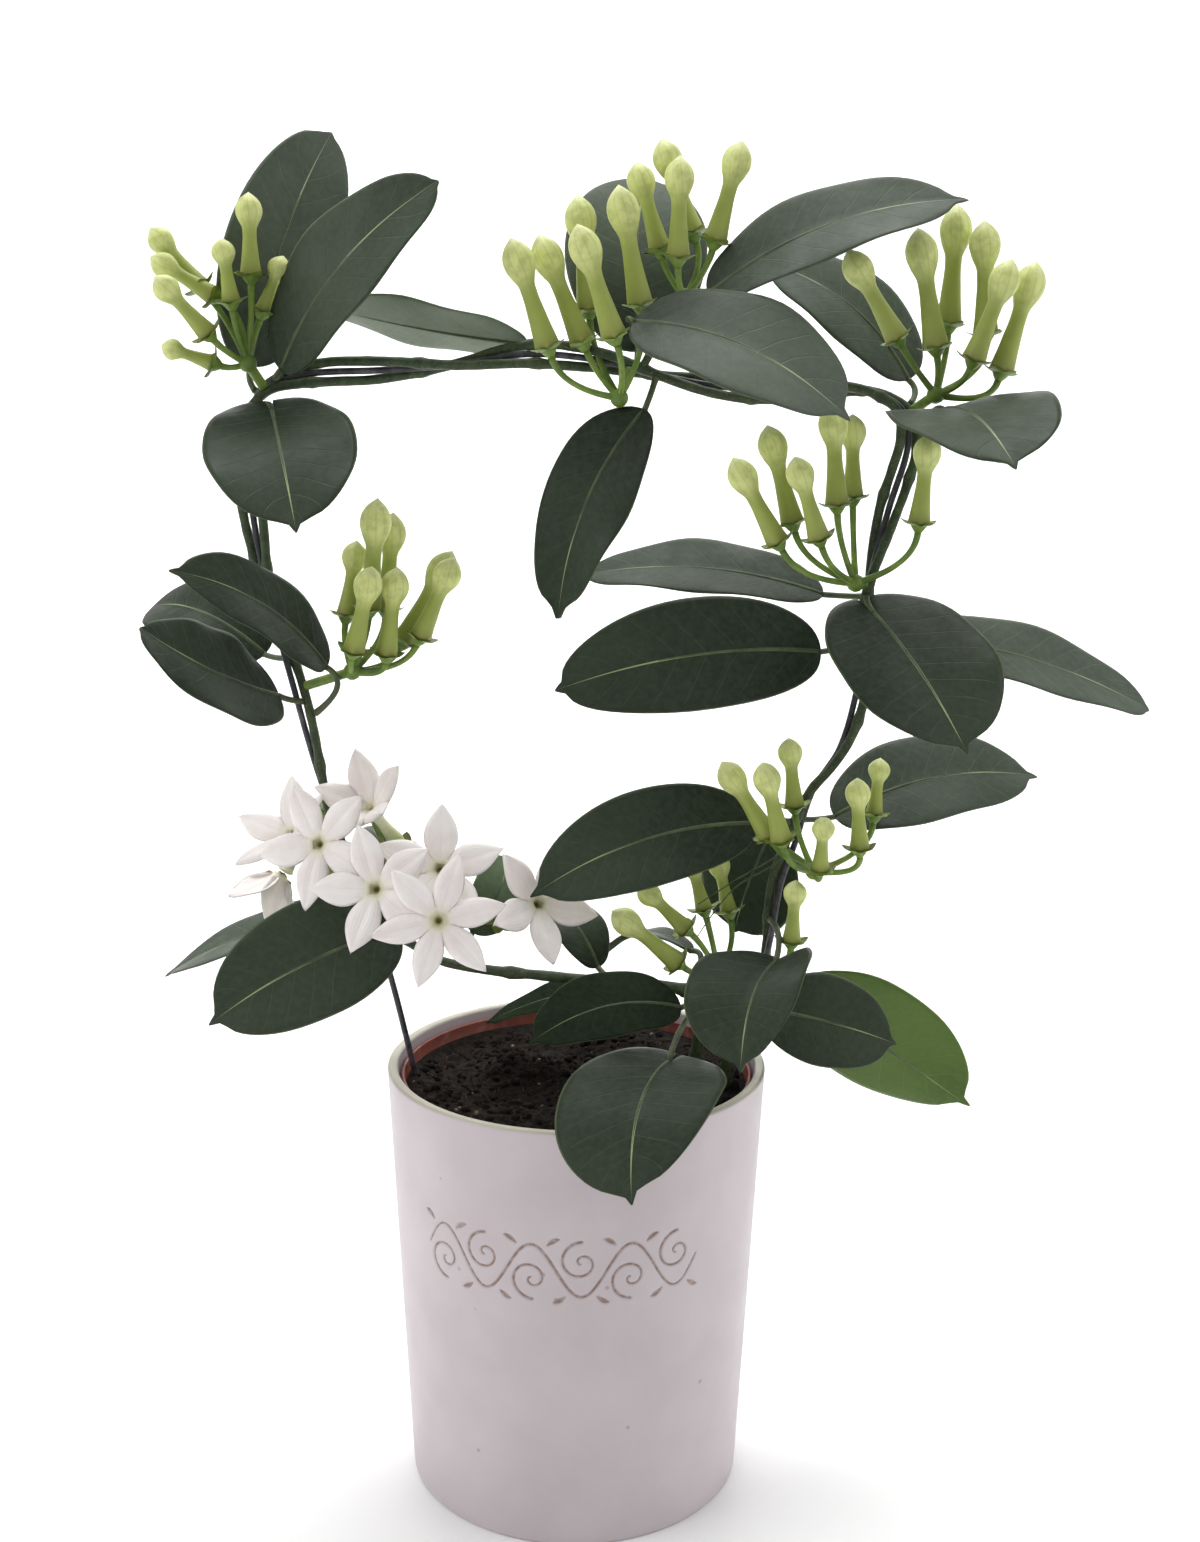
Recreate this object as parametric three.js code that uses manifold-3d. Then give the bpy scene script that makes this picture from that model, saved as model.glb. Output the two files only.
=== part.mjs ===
// Madagascar jasmine (Stephanotis floribunda): two twining stems on a wire hoop, rooted in a plastic nursery
// pot of peat that stands inside a ceramic cover pot. Millimetres, +Z up. The origin is the centre of the
// cover pot's underside, the front is towards -Y, and the hoop stands in the plane y = 0.
import * as THREE from 'three';
import { mergeVertices } from 'three/addons/utils/BufferGeometryUtils.js';
import Module from 'manifold-3d';

const wasm = await Module();
wasm.setup();

// ---- Driving dimensions ----
const GAP = 0.3; // air kept between pieces that touch
const SLIVER = 0.03; // facets finer than this, as cuts and joins leave them, are merged
const POT = { rimRadius: 72.5, baseRadius: 64.2, height: 166.6, wall: 4, floor: 5, bevel: 1.2, sides: 40 };
const NURSERY = {
  baseRadius: 50, bodyRadius: 64, bandRadius: 67.2, bandFoot: 149, bandTaper: 0.6, rim: 163, wall: 1.2,
  sides: 28,
};
const DRAIN = { count: 5, radius: 4, ring: 30, sides: 8 };
const SOIL = { level: 158.5, relief: 1.3, swells: [9, 13], sides: 20, bands: [14, 29, 44, 57] };
const WIRE = { radius: 1.2, sides: 5, stepsPerPoint: 2 };
const STEM = { radius: 1.75, base: 2.6, taper: 0.16, shoot: 1.4, sides: 6 };
const TWINE = { radius: 3.5, pitch: 150, pointsPerTurn: 12 };
const GROWTH = { stemPlaces: 400, shootPlaces: 20, shootFirst: 8 }; // where leaves and umbels may spring from
const LEAF = {
  thickness: 1, petiole: 1.25, petioleSteps: 2, petioleBow: 0.5, setBack: 8, fullness: 0.44, skew: 0.92,
  point: 0.06, pointWidth: 4.4, pointEnd: 0.15, fold: 0.1, arch: 8, waves: 3,
};
const BUD = { head: 5.9, length: 42 };
const STALK = { peduncle: 1.8, hub: 3.3, pedicel: 1.2, bow: 0.42, steps: 2 };
const CALYX = { sepals: 5, reach: 7, notch: 3.3, below: 3.2, above: 1.8 };
const FLOWER = {
  lobes: 5, lobeLength: 24, lobeWidth: 12.5, lobeThickness: 1.2, recurve: 3, roll: 0.8, sinus: 5,
  tubeLength: 27,
};

const BUD_PROFILE = [[0.03, 0.82], [0.55, 0.56], [0.76, 1], [0.9, 0.76], [1, 0]]; // share of length, of head
const LEAF_STATIONS = [0, 0.05, 0.2, 0.42, 0.66, 0.85, 0.94, 1];
const TUBE_PROFILE = [[0, 2.6], [0.2, 3.3], [0.6, 2.3], [0.88, 2.7], [1, 3.8]]; // share of length, radius
const LOBE_STATIONS = [[0.32, 0.88], [0.52, 1], [0.78, 0.68], [1, 0]]; // share of length, width

// ---- Routes: hand-set points of the wire, and of each stem before and after it twines on the wire ----
const HOOP = [
  [-50, 2, 62], [-56, 3, 120], [-60, 4, 148], [-63.6, 4, 163], [-73, 3, 204], [-86, 1, 245], [-97, 0, 279],
  [-106, 0, 314], [-113, 0, 343], [-118, 0, 372], [-120, 0, 400], [-115, 0, 417], [-99, 0, 424], [-71, 0, 426],
  [-45, 0, 428], [-18, 0, 432], [7, 0, 430], [28, 0, 425], [52, 0, 421], [79, 0, 420], [102, 0, 420],
  [115, 0, 414], [118, 0, 402], [112, 0, 378], [106, 0, 351], [104, 0, 324], [102, 0, 307], [97, 0, 289],
  [88, 0, 274], [82, 0, 254], [77, 0, 238], [73, 0, 213], [68, 1, 191], [62.5, 3, 163], [59.5, 3, 148],
  [50, 2, 62],
];
const STEMS = [
  {
    name: 'stem_left', onto: 0.155, off: 0.715, phase: 2.2, rise: [
      [40, -3, 112], [43, -3, 158], [47, -4, 180], [43, -5, 195], [33, -5, 198],
      [7, -5, 200], [-14, -5, 202], [-34, -5, 204], [-52, -6, 208], [-66, -6, 216]],
  },
  {
    name: 'stem_right', onto: 0.865, off: 0.292, phase: 5.3, rise: [
      [54, -7, 112], [56, -7, 158], [61, -8, 185], [67, -7, 205]],
  },
];
const SHOOT = [[22, -3, 425], [27, -8, 436], [36, -7, 447], [44, -7, 453]]; // it stands up at the top

// ---- Leaves: blade base and tip, the way the upper side faces, width, and how the blade bends ----
const LEAVES = [
  { name: 'leaf_top_left_back', base: [-119, 8, 427], tip: [-91, 30, 510], face: [0.4, -0.9, 0.2], width: 40,
    sweep: 5, point: 0.02 },
  { name: 'leaf_top_left_front', from: [-107, 0, 424], base: [-105, -10, 426], tip: [-48, -20, 489],
    face: [-0.4, -0.8, 0.5], width: 42, sweep: 2, point: 0.02 },
  { name: 'leaf_top_left_hanging', from: [-116, 0, 406], base: [-108, -14, 412], tip: [-92, -67, 374],
    face: [0, -0.5, 0.8], width: 52, arch: 5, lobe: 10 },
  { name: 'leaf_top_left_inner', base: [-19, 7, 436], tip: [-103, 34, 451], face: [0.1, 0.5, 0.86], width: 34,
    arch: -2 },
  { name: 'leaf_left_upper', from: [-102, -1, 300], base: [-91, -14, 321], tip: [-141, -38, 358],
    face: [0.3, -0.5, 0.8], width: 36, arch: 6, sweep: -4 },
  { name: 'leaf_left_back', base: [-117, 8, 322], tip: [-164, 34, 336], face: [-0.1, -0.6, 0.8], width: 38,
    arch: 10, point: 0.02 },
  { name: 'leaf_left_lower', base: [-110, -6, 309], tip: [-152, -38, 338], face: [0.1, -0.6, 0.8], width: 42,
    arch: 2, sweep: 6, point: 0.02 },
  { name: 'leaf_low_left_front', from: [-56, -6, 210], base: [-66, -16, 223], tip: [-133, -38, 193],
    face: [-0.1, -0.85, 0.45], width: 45, sweep: -2 },
  { name: 'leaf_low_left_back', base: [-80, 9, 219], tip: [-165, 32, 188], face: [0, -0.2, 1], width: 40,
    arch: 7 },
  { name: 'leaf_flowers_right', base: [-41, 17, 212], tip: [-30, 42, 236], face: [0.5, -0.7, 0.3],
    width: 24 },
  { name: 'leaf_flowers_back', from: [-68, 2, 210], base: [-75, 17, 230], tip: [-83, 37, 249],
    face: [0.3, -0.8, 0.3], width: 20 },
  { name: 'leaf_small_middle', base: [8, 2, 203], tip: [-13, 26, 220], face: [0.4, -0.7, 0.5], width: 22 },
  { name: 'leaf_over_soil_front', base: [39, -15, 193], tip: [-17, -34, 185], face: [0, -0.5, 0.85],
    width: 32, arch: 6, sweep: -4 },
  { name: 'leaf_over_soil_back', base: [15, 5, 194], tip: [-36, 22, 173], face: [0, -0.15, 1], width: 28,
    arch: 3 },
  { name: 'leaf_over_rim', base: [34, -40, 181], tip: [20, -100, 153], face: [-0.1, -0.45, 0.85], width: 56,
    lobe: 10, arch: 9, sweep: -4, skew: 8 },
  { name: 'leaf_rim_folded', from: [71, -4, 222], base: [73, -27, 215], tip: [58, -68, 188],
    face: [-0.4, -0.5, 0.75], width: 46, fold: 0.45, lobe: 5 },
  { name: 'leaf_right_dark', base: [71, -8, 190], tip: [121, -12, 178], face: [0.1, -0.75, 0.65], width: 38,
    arch: 4 },
  { name: 'leaf_right_bright', base: [84, 14, 193], tip: [158, 26, 138], face: [0.3, 0.9, 0.3], width: 54,
    arch: 3, sweep: 2 },
  { name: 'leaf_mid_left_front', base: [66, -6, 262], tip: [-17, -20, 237], face: [-0.1, -0.85, 0.5],
    width: 38, sweep: -5 },
  { name: 'leaf_mid_left_back', base: [74, 12, 255], tip: [62, 30, 209], face: [-0.3, -0.85, 0.3], width: 42,
    arch: 4 },
  { name: 'leaf_low_right', base: [97, 6, 262], tip: [177, 24, 274], face: [0, -0.6, 0.8], width: 42,
    sweep: 3 },
  { name: 'leaf_mid_right_round', base: [106, -12, 342], tip: [133, -60, 300], face: [0.1, -0.6, 0.8],
    width: 60, arch: 4, lobe: 10 },
  { name: 'leaf_mid_right_far', base: [125, 10, 329], tip: [219, 26, 300], face: [0, -0.55, 0.85], width: 37,
    arch: 5, sweep: 3, point: 0.02 },
  { name: 'leaf_centre_lower', base: [88, -8, 327], tip: [-8, -26, 315], face: [0, -0.9, 0.4], width: 42,
    arch: 6, sweep: -4, point: 0.03 },
  { name: 'leaf_centre_upper', base: [90, 8, 346], tip: [1, 28, 350], face: [0, -0.5, 0.8], width: 32,
    point: 0.03 },
  { name: 'leaf_centre_hanging', base: [23, -9, 413], tip: [-7, -20, 340], face: [-0.4, -0.9, 0.2], width: 34,
    arch: 5, sweep: -5, wave: 2 },
  { name: 'leaf_top_front', from: [27, -8, 436], base: [19, -22, 443], tip: [90, -53, 411],
    face: [0.1, -0.7, 0.7], width: 47, sweep: 3 },
  { name: 'leaf_top_right', base: [45, -9, 453], tip: [134, -9, 485], face: [0.1, -0.6, 0.8], width: 38,
    arch: 9, sweep: 2 },
  { name: 'leaf_top_right_back', base: [119, 12, 424], tip: [66, 34, 466], face: [0.1, -0.7, 0.7], width: 36,
    arch: 6, sweep: -5 },
  { name: 'leaf_top_back_round', base: [21, 14, 439], tip: [25, 52, 498], face: [0, -0.85, 0.5], width: 52,
    lobe: 6, sweep: 3 },
  { name: 'leaf_right_corner', from: [118, 0, 398], base: [127, -18, 414], tip: [140, -80, 397],
    face: [-0.1, -0.3, 0.95], width: 56, arch: 7, lobe: 11 },
  { name: 'leaf_edge_on', base: [44, 8, 208], tip: [10, 26, 200], face: [0.1, 0.1, 1], width: 20 },
];

// ---- Bud umbels: the hub that the pedicels spring from, then calyx and tip of each bud ----
const UMBELS = [
  {
    name: 'buds_top_left', hub: [-117, -8, 428], buds: [
      [[-115, -8, 458], [-115, -8, 486]], [[-121, -14, 449], [-123, -18, 470]],
      [[-133, -6, 454], [-150, -6, 474]], [[-128, -9, 451], [-149, -12, 464]],
      [[-129, -16, 438], [-145, -24, 457]], [[-129, -10, 428], [-146, -14, 434]],
      [[-112, -3, 446], [-104, -4, 465]]],
  },
  {
    name: 'buds_top_middle', hub: [14, -8, 417], buds: [
      [[-11, -14, 434], [-24, -16, 471]], [[1, -5, 436], [-15, -3, 473]], [[12, -20, 438], [-1, -26, 475]],
      [[3, 2, 447], [-1, 3, 487]], [[21, -10, 449], [13, -13, 489]]],
  },
  {
    name: 'buds_top_back', hub: [37, 2, 452], buds: [
      [[28, 0, 468], [19, 2, 498]], [[40, 9, 474], [28, 14, 507]], [[34, -8, 465], [34, -10, 499]],
      [[47, -2, 471], [56, -2, 505]]],
  },
  {
    name: 'buds_top_right', hub: [126, -7, 419], buds: [
      [[111, -12, 438], [92, -14, 468]], [[125, -9, 435], [117, -8, 476]], [[131, 2, 443], [133, 6, 485]],
      [[143, -5, 440], [141, -3, 479]], [[137, -16, 431], [148, -20, 465]], [[148, -10, 427], [159, -8, 465]]],
  },
  {
    name: 'buds_right', hub: [100, -7, 352], buds: [
      [[71, -14, 367], [54, -16, 397]], [[77, -4, 373], [67, -2, 408]], [[85, -19, 369], [75, -24, 398]],
      [[92, -10, 380], [89, -10, 416]], [[99, 1, 382], [98, 2, 412]], [[121, -13, 374], [123, -15, 406]]],
  },
  {
    name: 'buds_low_right', hub: [88, -10, 245], buds: [
      [[70, -20, 261], [52, -22, 289]], [[74, -26, 261], [66, -32, 291]], [[80, -11, 270], [77, -12, 296]],
      [[89, -21, 249], [89, -28, 270]], [[104, -15, 255], [102, -16, 282]], [[110, -7, 266], [112, -4, 287]]],
  },
  {
    name: 'buds_low_middle', hub: [54, -5, 202], buds: [
      [[38, -10, 209], [13, -16, 231]], [[41, -6, 221], [23, -8, 239]], [[48, 0, 227], [42, 2, 248]],
      [[58, 7, 224], [53, 12, 246]], [[80, -14, 219], [81, -15, 243]]],
  },
  {
    name: 'buds_left', hub: [-82, -11, 319], buds: [
      [[-75, -15, 342], [-71, -17, 382]], [[-70, -6, 341], [-67, -4, 376]], [[-84, -9, 339], [-80, -6, 366]],
      [[-80, -21, 328], [-72, -28, 359]], [[-69, -16, 326], [-64, -20, 358]], [[-64, -6, 329], [-46, 0, 362]],
      [[-57, -13, 332], [-44, -16, 361]]],
  },
];

// ---- Open flowers: mouth of the tube, bearing and lift it faces, the first lobe's spin, cupping ----
const FLOWER_HUB = [-66, -9, 231];
const FLOWERS = [
  { name: 'flower_top', mouth: [-76, -7, 266], bearing: -24, lift: 42, spin: 39, cup: 50 },
  { name: 'flower_left', mouth: [-92, -34, 260], bearing: -22, lift: 20, spin: 52, cup: 10 },
  { name: 'flower_left_back', mouth: [-106, -7, 256], bearing: -48, lift: 46, spin: 45, cup: 32 },
  { name: 'flower_drooping', mouth: [-112, 10, 238.5], bearing: -78, lift: -56, spin: 62, cup: 56 },
  { name: 'flower_centre', mouth: [-70, -50, 248], bearing: -14, lift: 22, spin: 40, cup: 12 },
  { name: 'flower_upper_right', mouth: [-49, -34, 251], bearing: 6, lift: 31, spin: 15, cup: 18 },
  { name: 'flower_front', mouth: [-47, -64, 241], bearing: 6, lift: 18, spin: 12, cup: 6, lobes: 6 },
  { name: 'flower_right', mouth: [-15, -12, 232], bearing: 34, lift: 25, spin: 50, cup: 20 },
];

// ---- Finishes ----
const FINISH = {
  pot: { color: 0xd8ccd2, roughness: 0.55, metalness: 0 },
  nursery: { color: 0x8a4a3c, roughness: 0.6, metalness: 0 },
  soil: { color: 0x2a2420, roughness: 1, metalness: 0 },
  wire: { color: 0x3a3c3a, roughness: 0.4, metalness: 0.8 },
  stem: { color: 0x3d4a2e, roughness: 0.7, metalness: 0 },
  leaf: { color: 0x2f4030, roughness: 0.45, metalness: 0 },
  bud: { color: 0xb4bd72, roughness: 0.6, metalness: 0 },
  petal: { color: 0xf4efec, roughness: 0.5, metalness: 0 },
};

// ---- Vectors and solids ----
const vec = ([x, y, z]) => new THREE.Vector3(x, y, z);
const unit = (v) => v.clone().normalize();
const along = (p, v, d) => p.clone().addScaledVector(v, d);
const squareTo = (v, axis) => unit(along(v, axis, -v.dot(axis)));

/** A three.js geometry as a solid: seams merged, faces of no area left out. */
function solid(geometry) {
  const bare = geometry.index ? geometry.clone() : geometry;
  bare.deleteAttribute('normal');
  bare.deleteAttribute('uv');
  const merged = mergeVertices(bare, 1e-4);
  const triVerts = [];
  for (let i = 0; i < merged.index.count; i += 3) {
    const [a, b, c] = [0, 1, 2].map((k) => merged.index.getX(i + k));
    if (a !== b && b !== c && c !== a) triVerts.push(a, b, c);
  }
  const vertProperties = new Float32Array(merged.attributes.position.array);
  const shape = { numProp: 3, vertProperties, triVerts: new Uint32Array(triVerts) };
  return new wasm.Manifold(new wasm.Mesh(shape));
}

/**
 * A closed skin over rings of points. A ring may hold as many points as its neighbour, a whole multiple of
 * them, or only one; crossed[j] turns the diagonal of strip j.
 */
function skin(rings, crossed = []) {
  const starts = rings.map((_, k) => rings.slice(0, k).flat().length);
  const index = [];
  for (let k = 0; k + 1 < rings.length; k += 1) {
    const strips = Math.max(rings[k].length, rings[k + 1].length);
    const corner = (level, j) => {
      const count = rings[level].length;
      return starts[level] + (Math.floor((j * count) / strips) % count);
    };
    for (let j = 0; j < strips; j += 1) {
      const [a, b, c, d] = [corner(k, j), corner(k, j + 1), corner(k + 1, j + 1), corner(k + 1, j)];
      index.push(...(crossed[j] ? [a, b, d, b, c, d] : [a, b, c, a, c, d]));
    }
  }
  const last = starts.at(-1);
  for (let j = 1; j + 1 < rings[0].length; j += 1) index.push(0, j + 1, j);
  for (let j = 1; j + 1 < rings.at(-1).length; j += 1) index.push(last, last + j, last + j + 1);
  const geometry = new THREE.BufferGeometry().setFromPoints(rings.flat());
  geometry.setIndex(index);
  return solid(geometry);
}

/** A profile of [radius, height] pairs turned about Z. */
function turned(profile, sides) {
  const points = profile.map(([radius, height]) => new THREE.Vector2(radius, height));
  return solid(new THREE.LatheGeometry(points, sides).rotateX(Math.PI / 2));
}

/** A ring of points about a centre: reach(j) is the radius at corner j. */
function ring(centre, side, up, sides, reach) {
  return Array.from({ length: sides }, (_, j) => {
    const angle = (2 * Math.PI * j) / sides;
    const radius = reach(j);
    return along(along(centre, side, radius * Math.cos(angle)), up, radius * Math.sin(angle));
  });
}

/** A direction square to an axis, the same one each time. */
const anySide = (axis) => squareTo(Math.abs(axis.z) < 0.9 ? vec([0, 0, 1]) : vec([0, 1, 0]), axis);

/** A rod of given radius along a curve; spare makes it fatter and longer, to cut clearance with. */
function rod(curve, steps, sides, radiusAt, spare = 0) {
  let side = anySide(curve.getTangent(0));
  return skin(Array.from({ length: steps + 1 }, (_, k) => {
    const tangent = curve.getTangent(k / steps);
    const overrun = { 0: -spare, [steps]: spare }[k] ?? 0;
    const centre = along(curve.getPoint(k / steps), tangent, overrun);
    side = squareTo(side, tangent);
    return ring(centre, side, tangent.clone().cross(side), sides, () => radiusAt(k / steps) + spare);
  }));
}

/** Rings up to a curve's end, where their first corner points to side. */
function leadIn(curve, steps, sides, radius, sideAtEnd) {
  const rings = [];
  let side = sideAtEnd;
  for (let k = steps - 1; k >= 0; k -= 1) {
    const tangent = curve.getTangent(k / steps);
    side = squareTo(side, tangent);
    rings.unshift(ring(curve.getPoint(k / steps), side, tangent.clone().cross(side), sides, () => radius));
  }
  return rings;
}

/** The biggest connected piece of a solid: what a cut leaves loose is dropped. */
function biggest(shape) {
  return shape.decompose().reduce((best, piece) => (piece.volume() > best.volume() ? piece : best));
}

const united = (shapes) => shapes.reduce((whole, shape) => whole.add(shape));

function mesh(name, shape, finish) {
  const { vertProperties, triVerts } = biggest(shape.asOriginal().simplify(SLIVER)).getMesh();
  const geometry = new THREE.BufferGeometry();
  geometry.setAttribute('position', new THREE.BufferAttribute(new Float32Array(vertProperties), 3));
  geometry.setIndex(new THREE.BufferAttribute(new Uint32Array(triVerts), 1));
  const piece = new THREE.Mesh(geometry, new THREE.MeshStandardMaterial(finish));
  piece.name = name;
  return piece;
}

// ---- Cover pot: tapered ceramic wall, thick floor, broken edges at foot and rim ----
const potSlope = (POT.rimRadius - POT.baseRadius) / POT.height;
const potRadius = (z) => POT.baseRadius + potSlope * z;

function coverPot() {
  const { height, wall, floor, bevel } = POT;
  return turned([
    [0, 0], [POT.baseRadius - bevel, 0], [potRadius(bevel), bevel],
    [potRadius(height - bevel), height - bevel], [POT.rimRadius - bevel, height],
    [POT.rimRadius - wall + bevel, height], [potRadius(height - bevel) - wall, height - bevel],
    [potRadius(floor) - wall, floor], [0, floor],
  ], POT.sides);
}

// ---- Nursery pot: thin tapered body with a wider rim band and drain holes in its floor ----
const nurseryFoot = POT.floor + GAP;

function nurseryPot() {
  const { baseRadius, bodyRadius, bandRadius, bandFoot, bandTaper, rim, wall, sides } = NURSERY;
  const bandStart = bandRadius - bandTaper;
  const shell = turned([
    [0, nurseryFoot], [baseRadius, nurseryFoot], [bodyRadius, bandFoot], [bandStart, bandFoot + wall],
    [bandRadius, rim], [bandRadius - wall, rim], [bandStart - wall, bandFoot + 2 * wall],
    [bodyRadius - wall, bandFoot + wall], [baseRadius - wall, nurseryFoot + wall], [0, nurseryFoot + wall],
  ], sides);
  const drains = Array.from({ length: DRAIN.count }, (_, i) => {
    const angle = (2 * Math.PI * i) / DRAIN.count;
    const plug = new THREE.CylinderGeometry(DRAIN.radius, DRAIN.radius, 4 * wall, DRAIN.sides);
    const centre = [DRAIN.ring * Math.cos(angle), DRAIN.ring * Math.sin(angle), nurseryFoot];
    return solid(plug.rotateX(Math.PI / 2).translate(...centre));
  });
  return shell.subtract(united(drains));
}

// ---- Soil: fills the nursery pot, with a loosely humped top and plain holes for wire and stems ----
function soilFill() {
  const { baseRadius, bodyRadius, bandRadius, bandFoot, bandTaper, wall } = NURSERY;
  const clear = wall + GAP;
  const bandInside = bandRadius - bandTaper - clear;
  const [swell, cross] = SOIL.swells;
  const hump = (r, a) => SOIL.relief * (Math.sin(r / swell + 2 * a) + Math.cos(r / cross - 3 * a));
  const level = (r) => (a) => SOIL.level + (r > 0 ? hump(r, a) : 0);
  const flat = (z) => () => z;
  const bands = [
    [0, level(0)], ...SOIL.bands.map((r) => [r, level(r)]), [bandInside, flat(SOIL.level)],
    [bandInside - GAP, flat(bandFoot + 3 * wall)], [bodyRadius - clear - GAP, flat(bandFoot + wall)],
    [baseRadius - clear, flat(nurseryFoot + clear)], [0, flat(nurseryFoot + clear)],
  ];
  const rings = bands.map(([radius, height]) => Array.from({ length: SOIL.sides }, (_, j) => {
    const angle = (-2 * Math.PI * j) / SOIL.sides;
    return vec([radius * Math.cos(angle), radius * Math.sin(angle), height(angle)]);
  }));
  return skin(rings);
}

// ---- Wire hoop and twining stems ----
const routed = (points) => new THREE.CatmullRomCurve3(points, false, 'centripetal');
const hoopCurve = routed(HOOP.map(vec));
const hoopLength = hoopCurve.getLength();

function wireRod(spare) {
  const steps = WIRE.stepsPerPoint * (HOOP.length - 1);
  return rod(hoopCurve, steps, WIRE.sides, () => WIRE.radius, spare);
}

/** Points of a helix round the hoop between two shares of its length. */
function twined(from, to, phase) {
  const turns = (Math.abs(to - from) * hoopLength) / TWINE.pitch;
  const steps = Math.ceil(turns * TWINE.pointsPerTurn);
  return Array.from({ length: steps + 1 }, (_, i) => {
    const share = from + ((to - from) * i) / steps;
    const tangent = hoopCurve.getTangentAt(share);
    const depth = squareTo(vec([0, 1, 0]), tangent);
    const outward = depth.clone().cross(tangent);
    const angle = (2 * Math.PI * share * hoopLength) / TWINE.pitch + phase;
    const centre = along(hoopCurve.getPointAt(share), outward, TWINE.radius * Math.cos(angle));
    return along(centre, depth, TWINE.radius * Math.sin(angle));
  });
}

const stemCurves = STEMS.map(({ rise, onto, off, phase }) => (
  routed([...rise.map(vec), ...twined(onto, off, phase)])));
const stemSpots = stemCurves.map((curve) => (
  curve.getSpacedPoints(GROWTH.stemPlaces).filter((spot) => spot.z > POT.height)));
const nearest = (spots, place) => spots.reduce((best, spot) => (
  spot.distanceTo(place) < best.distanceTo(place) ? spot : best));

// the side shoot springs from the first stem
const shootCurve = routed([nearest(stemSpots[0], vec(SHOOT[0])), ...SHOOT.slice(1).map(vec)]);
const shootSpots = shootCurve.getSpacedPoints(GROWTH.shootPlaces).slice(GROWTH.shootFirst);
const growthSpots = [...stemSpots.flat(), ...shootSpots];
const nearestOnStem = (place) => nearest(growthSpots, place);

/** The two stems as rods, the shoot joined to its own. */
function stemRods(spare) {
  const swelling = STEM.base - STEM.radius;
  const radiusAt = (share) => STEM.radius + swelling * Math.max(0, 1 - share / STEM.taper);
  const [first, second] = stemCurves.map((curve) => (
    rod(curve, curve.points.length - 1, STEM.sides, radiusAt, spare)));
  return [first.add(rod(shootCurve, 2 * SHOOT.length, STEM.sides, () => STEM.shoot, spare)), second];
}

// ---- A leaf: petiole and blade as one skin, an eight-point ring at each station ----
const COLUMNS = [1, 0.55, 0, -0.55, -1]; // across the blade, from one edge over the midrib to the other
const LEAF_CROSSED = [false, false, true, true, false, false, true, true]; // both faces split alike

const PLAIN_BLADE = {
  point: LEAF.point, arch: LEAF.arch, fold: LEAF.fold, sweep: 0, lobe: 0, skew: 0, wave: 0,
};

function leafHalfWidth(share, width, point) {
  const body = Math.min(1, share / (1 - point));
  const oval = (width / 2) * Math.max(0, Math.sin(Math.PI * body ** LEAF.skew)) ** LEAF.fullness;
  const tip = (LEAF.pointWidth / 2) * Math.min(1, (1 - share) / point + LEAF.pointEnd);
  return Math.max(oval, share > 0.5 ? tip : LEAF.petiole);
}

function bladeRings({ base, tip, face, width, ...shape }) {
  const { point, arch, fold, sweep, lobe, skew, wave } = { ...PLAIN_BLADE, ...shape };
  const start = vec(base);
  const span = vec(tip).sub(start);
  const axis = unit(span);
  const normal = squareTo(vec(face), axis);
  const across = normal.clone().cross(axis);
  return LEAF_STATIONS.map((share) => {
    const bulge = 4 * share * (1 - share);
    const slope = (4 * (1 - 2 * share)) / span.length();
    const tangent = unit(along(along(axis, normal, slope * arch), across, slope * sweep));
    const up = squareTo(normal, tangent);
    const side = up.clone().cross(tangent);
    const middle = along(along(along(start, span, share), normal, bulge * arch), across, bulge * sweep);
    const half = leafHalfWidth(share, width, point);
    const place = (u, lift) => {
      const rise = fold * half * Math.abs(u) + wave * u * u * Math.sin(LEAF.waves * Math.PI * share + u);
      const back = lobe * u * u * (1 - share) ** 4 + skew * u * Math.sin(Math.PI * share);
      return along(along(along(middle, side, u * half), up, rise + lift), tangent, -back);
    };
    const lift = Math.min(LEAF.thickness, half) / 2;
    const top = COLUMNS.map((u) => place(u, Math.abs(u) < 1 ? lift : 0));
    const under = COLUMNS.slice(1, -1).reverse().map((u) => place(u, -lift));
    return [...top, ...under];
  });
}

function leafSolid(leaf) {
  const start = vec(leaf.base);
  const axis = unit(vec(leaf.tip).sub(start));
  const foot = nearestOnStem(leaf.from ? vec(leaf.from) : along(start, axis, -LEAF.setBack));
  const bend = along(start, axis, -LEAF.petioleBow * foot.distanceTo(start));
  const petiole = new THREE.QuadraticBezierCurve3(foot, bend, start);
  const side = squareTo(vec(leaf.face), axis).cross(axis);
  const lead = leadIn(petiole, LEAF.petioleSteps, 2 * COLUMNS.length - 2, LEAF.petiole, side);
  return skin([...lead, ...bladeRings(leaf)], LEAF_CROSSED);
}

// ---- Buds, calyces and the stalks that carry them ----
function bow(from, to, arrival) {
  return new THREE.QuadraticBezierCurve3(from, along(to, arrival, -STALK.bow * from.distanceTo(to)), to);
}

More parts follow.
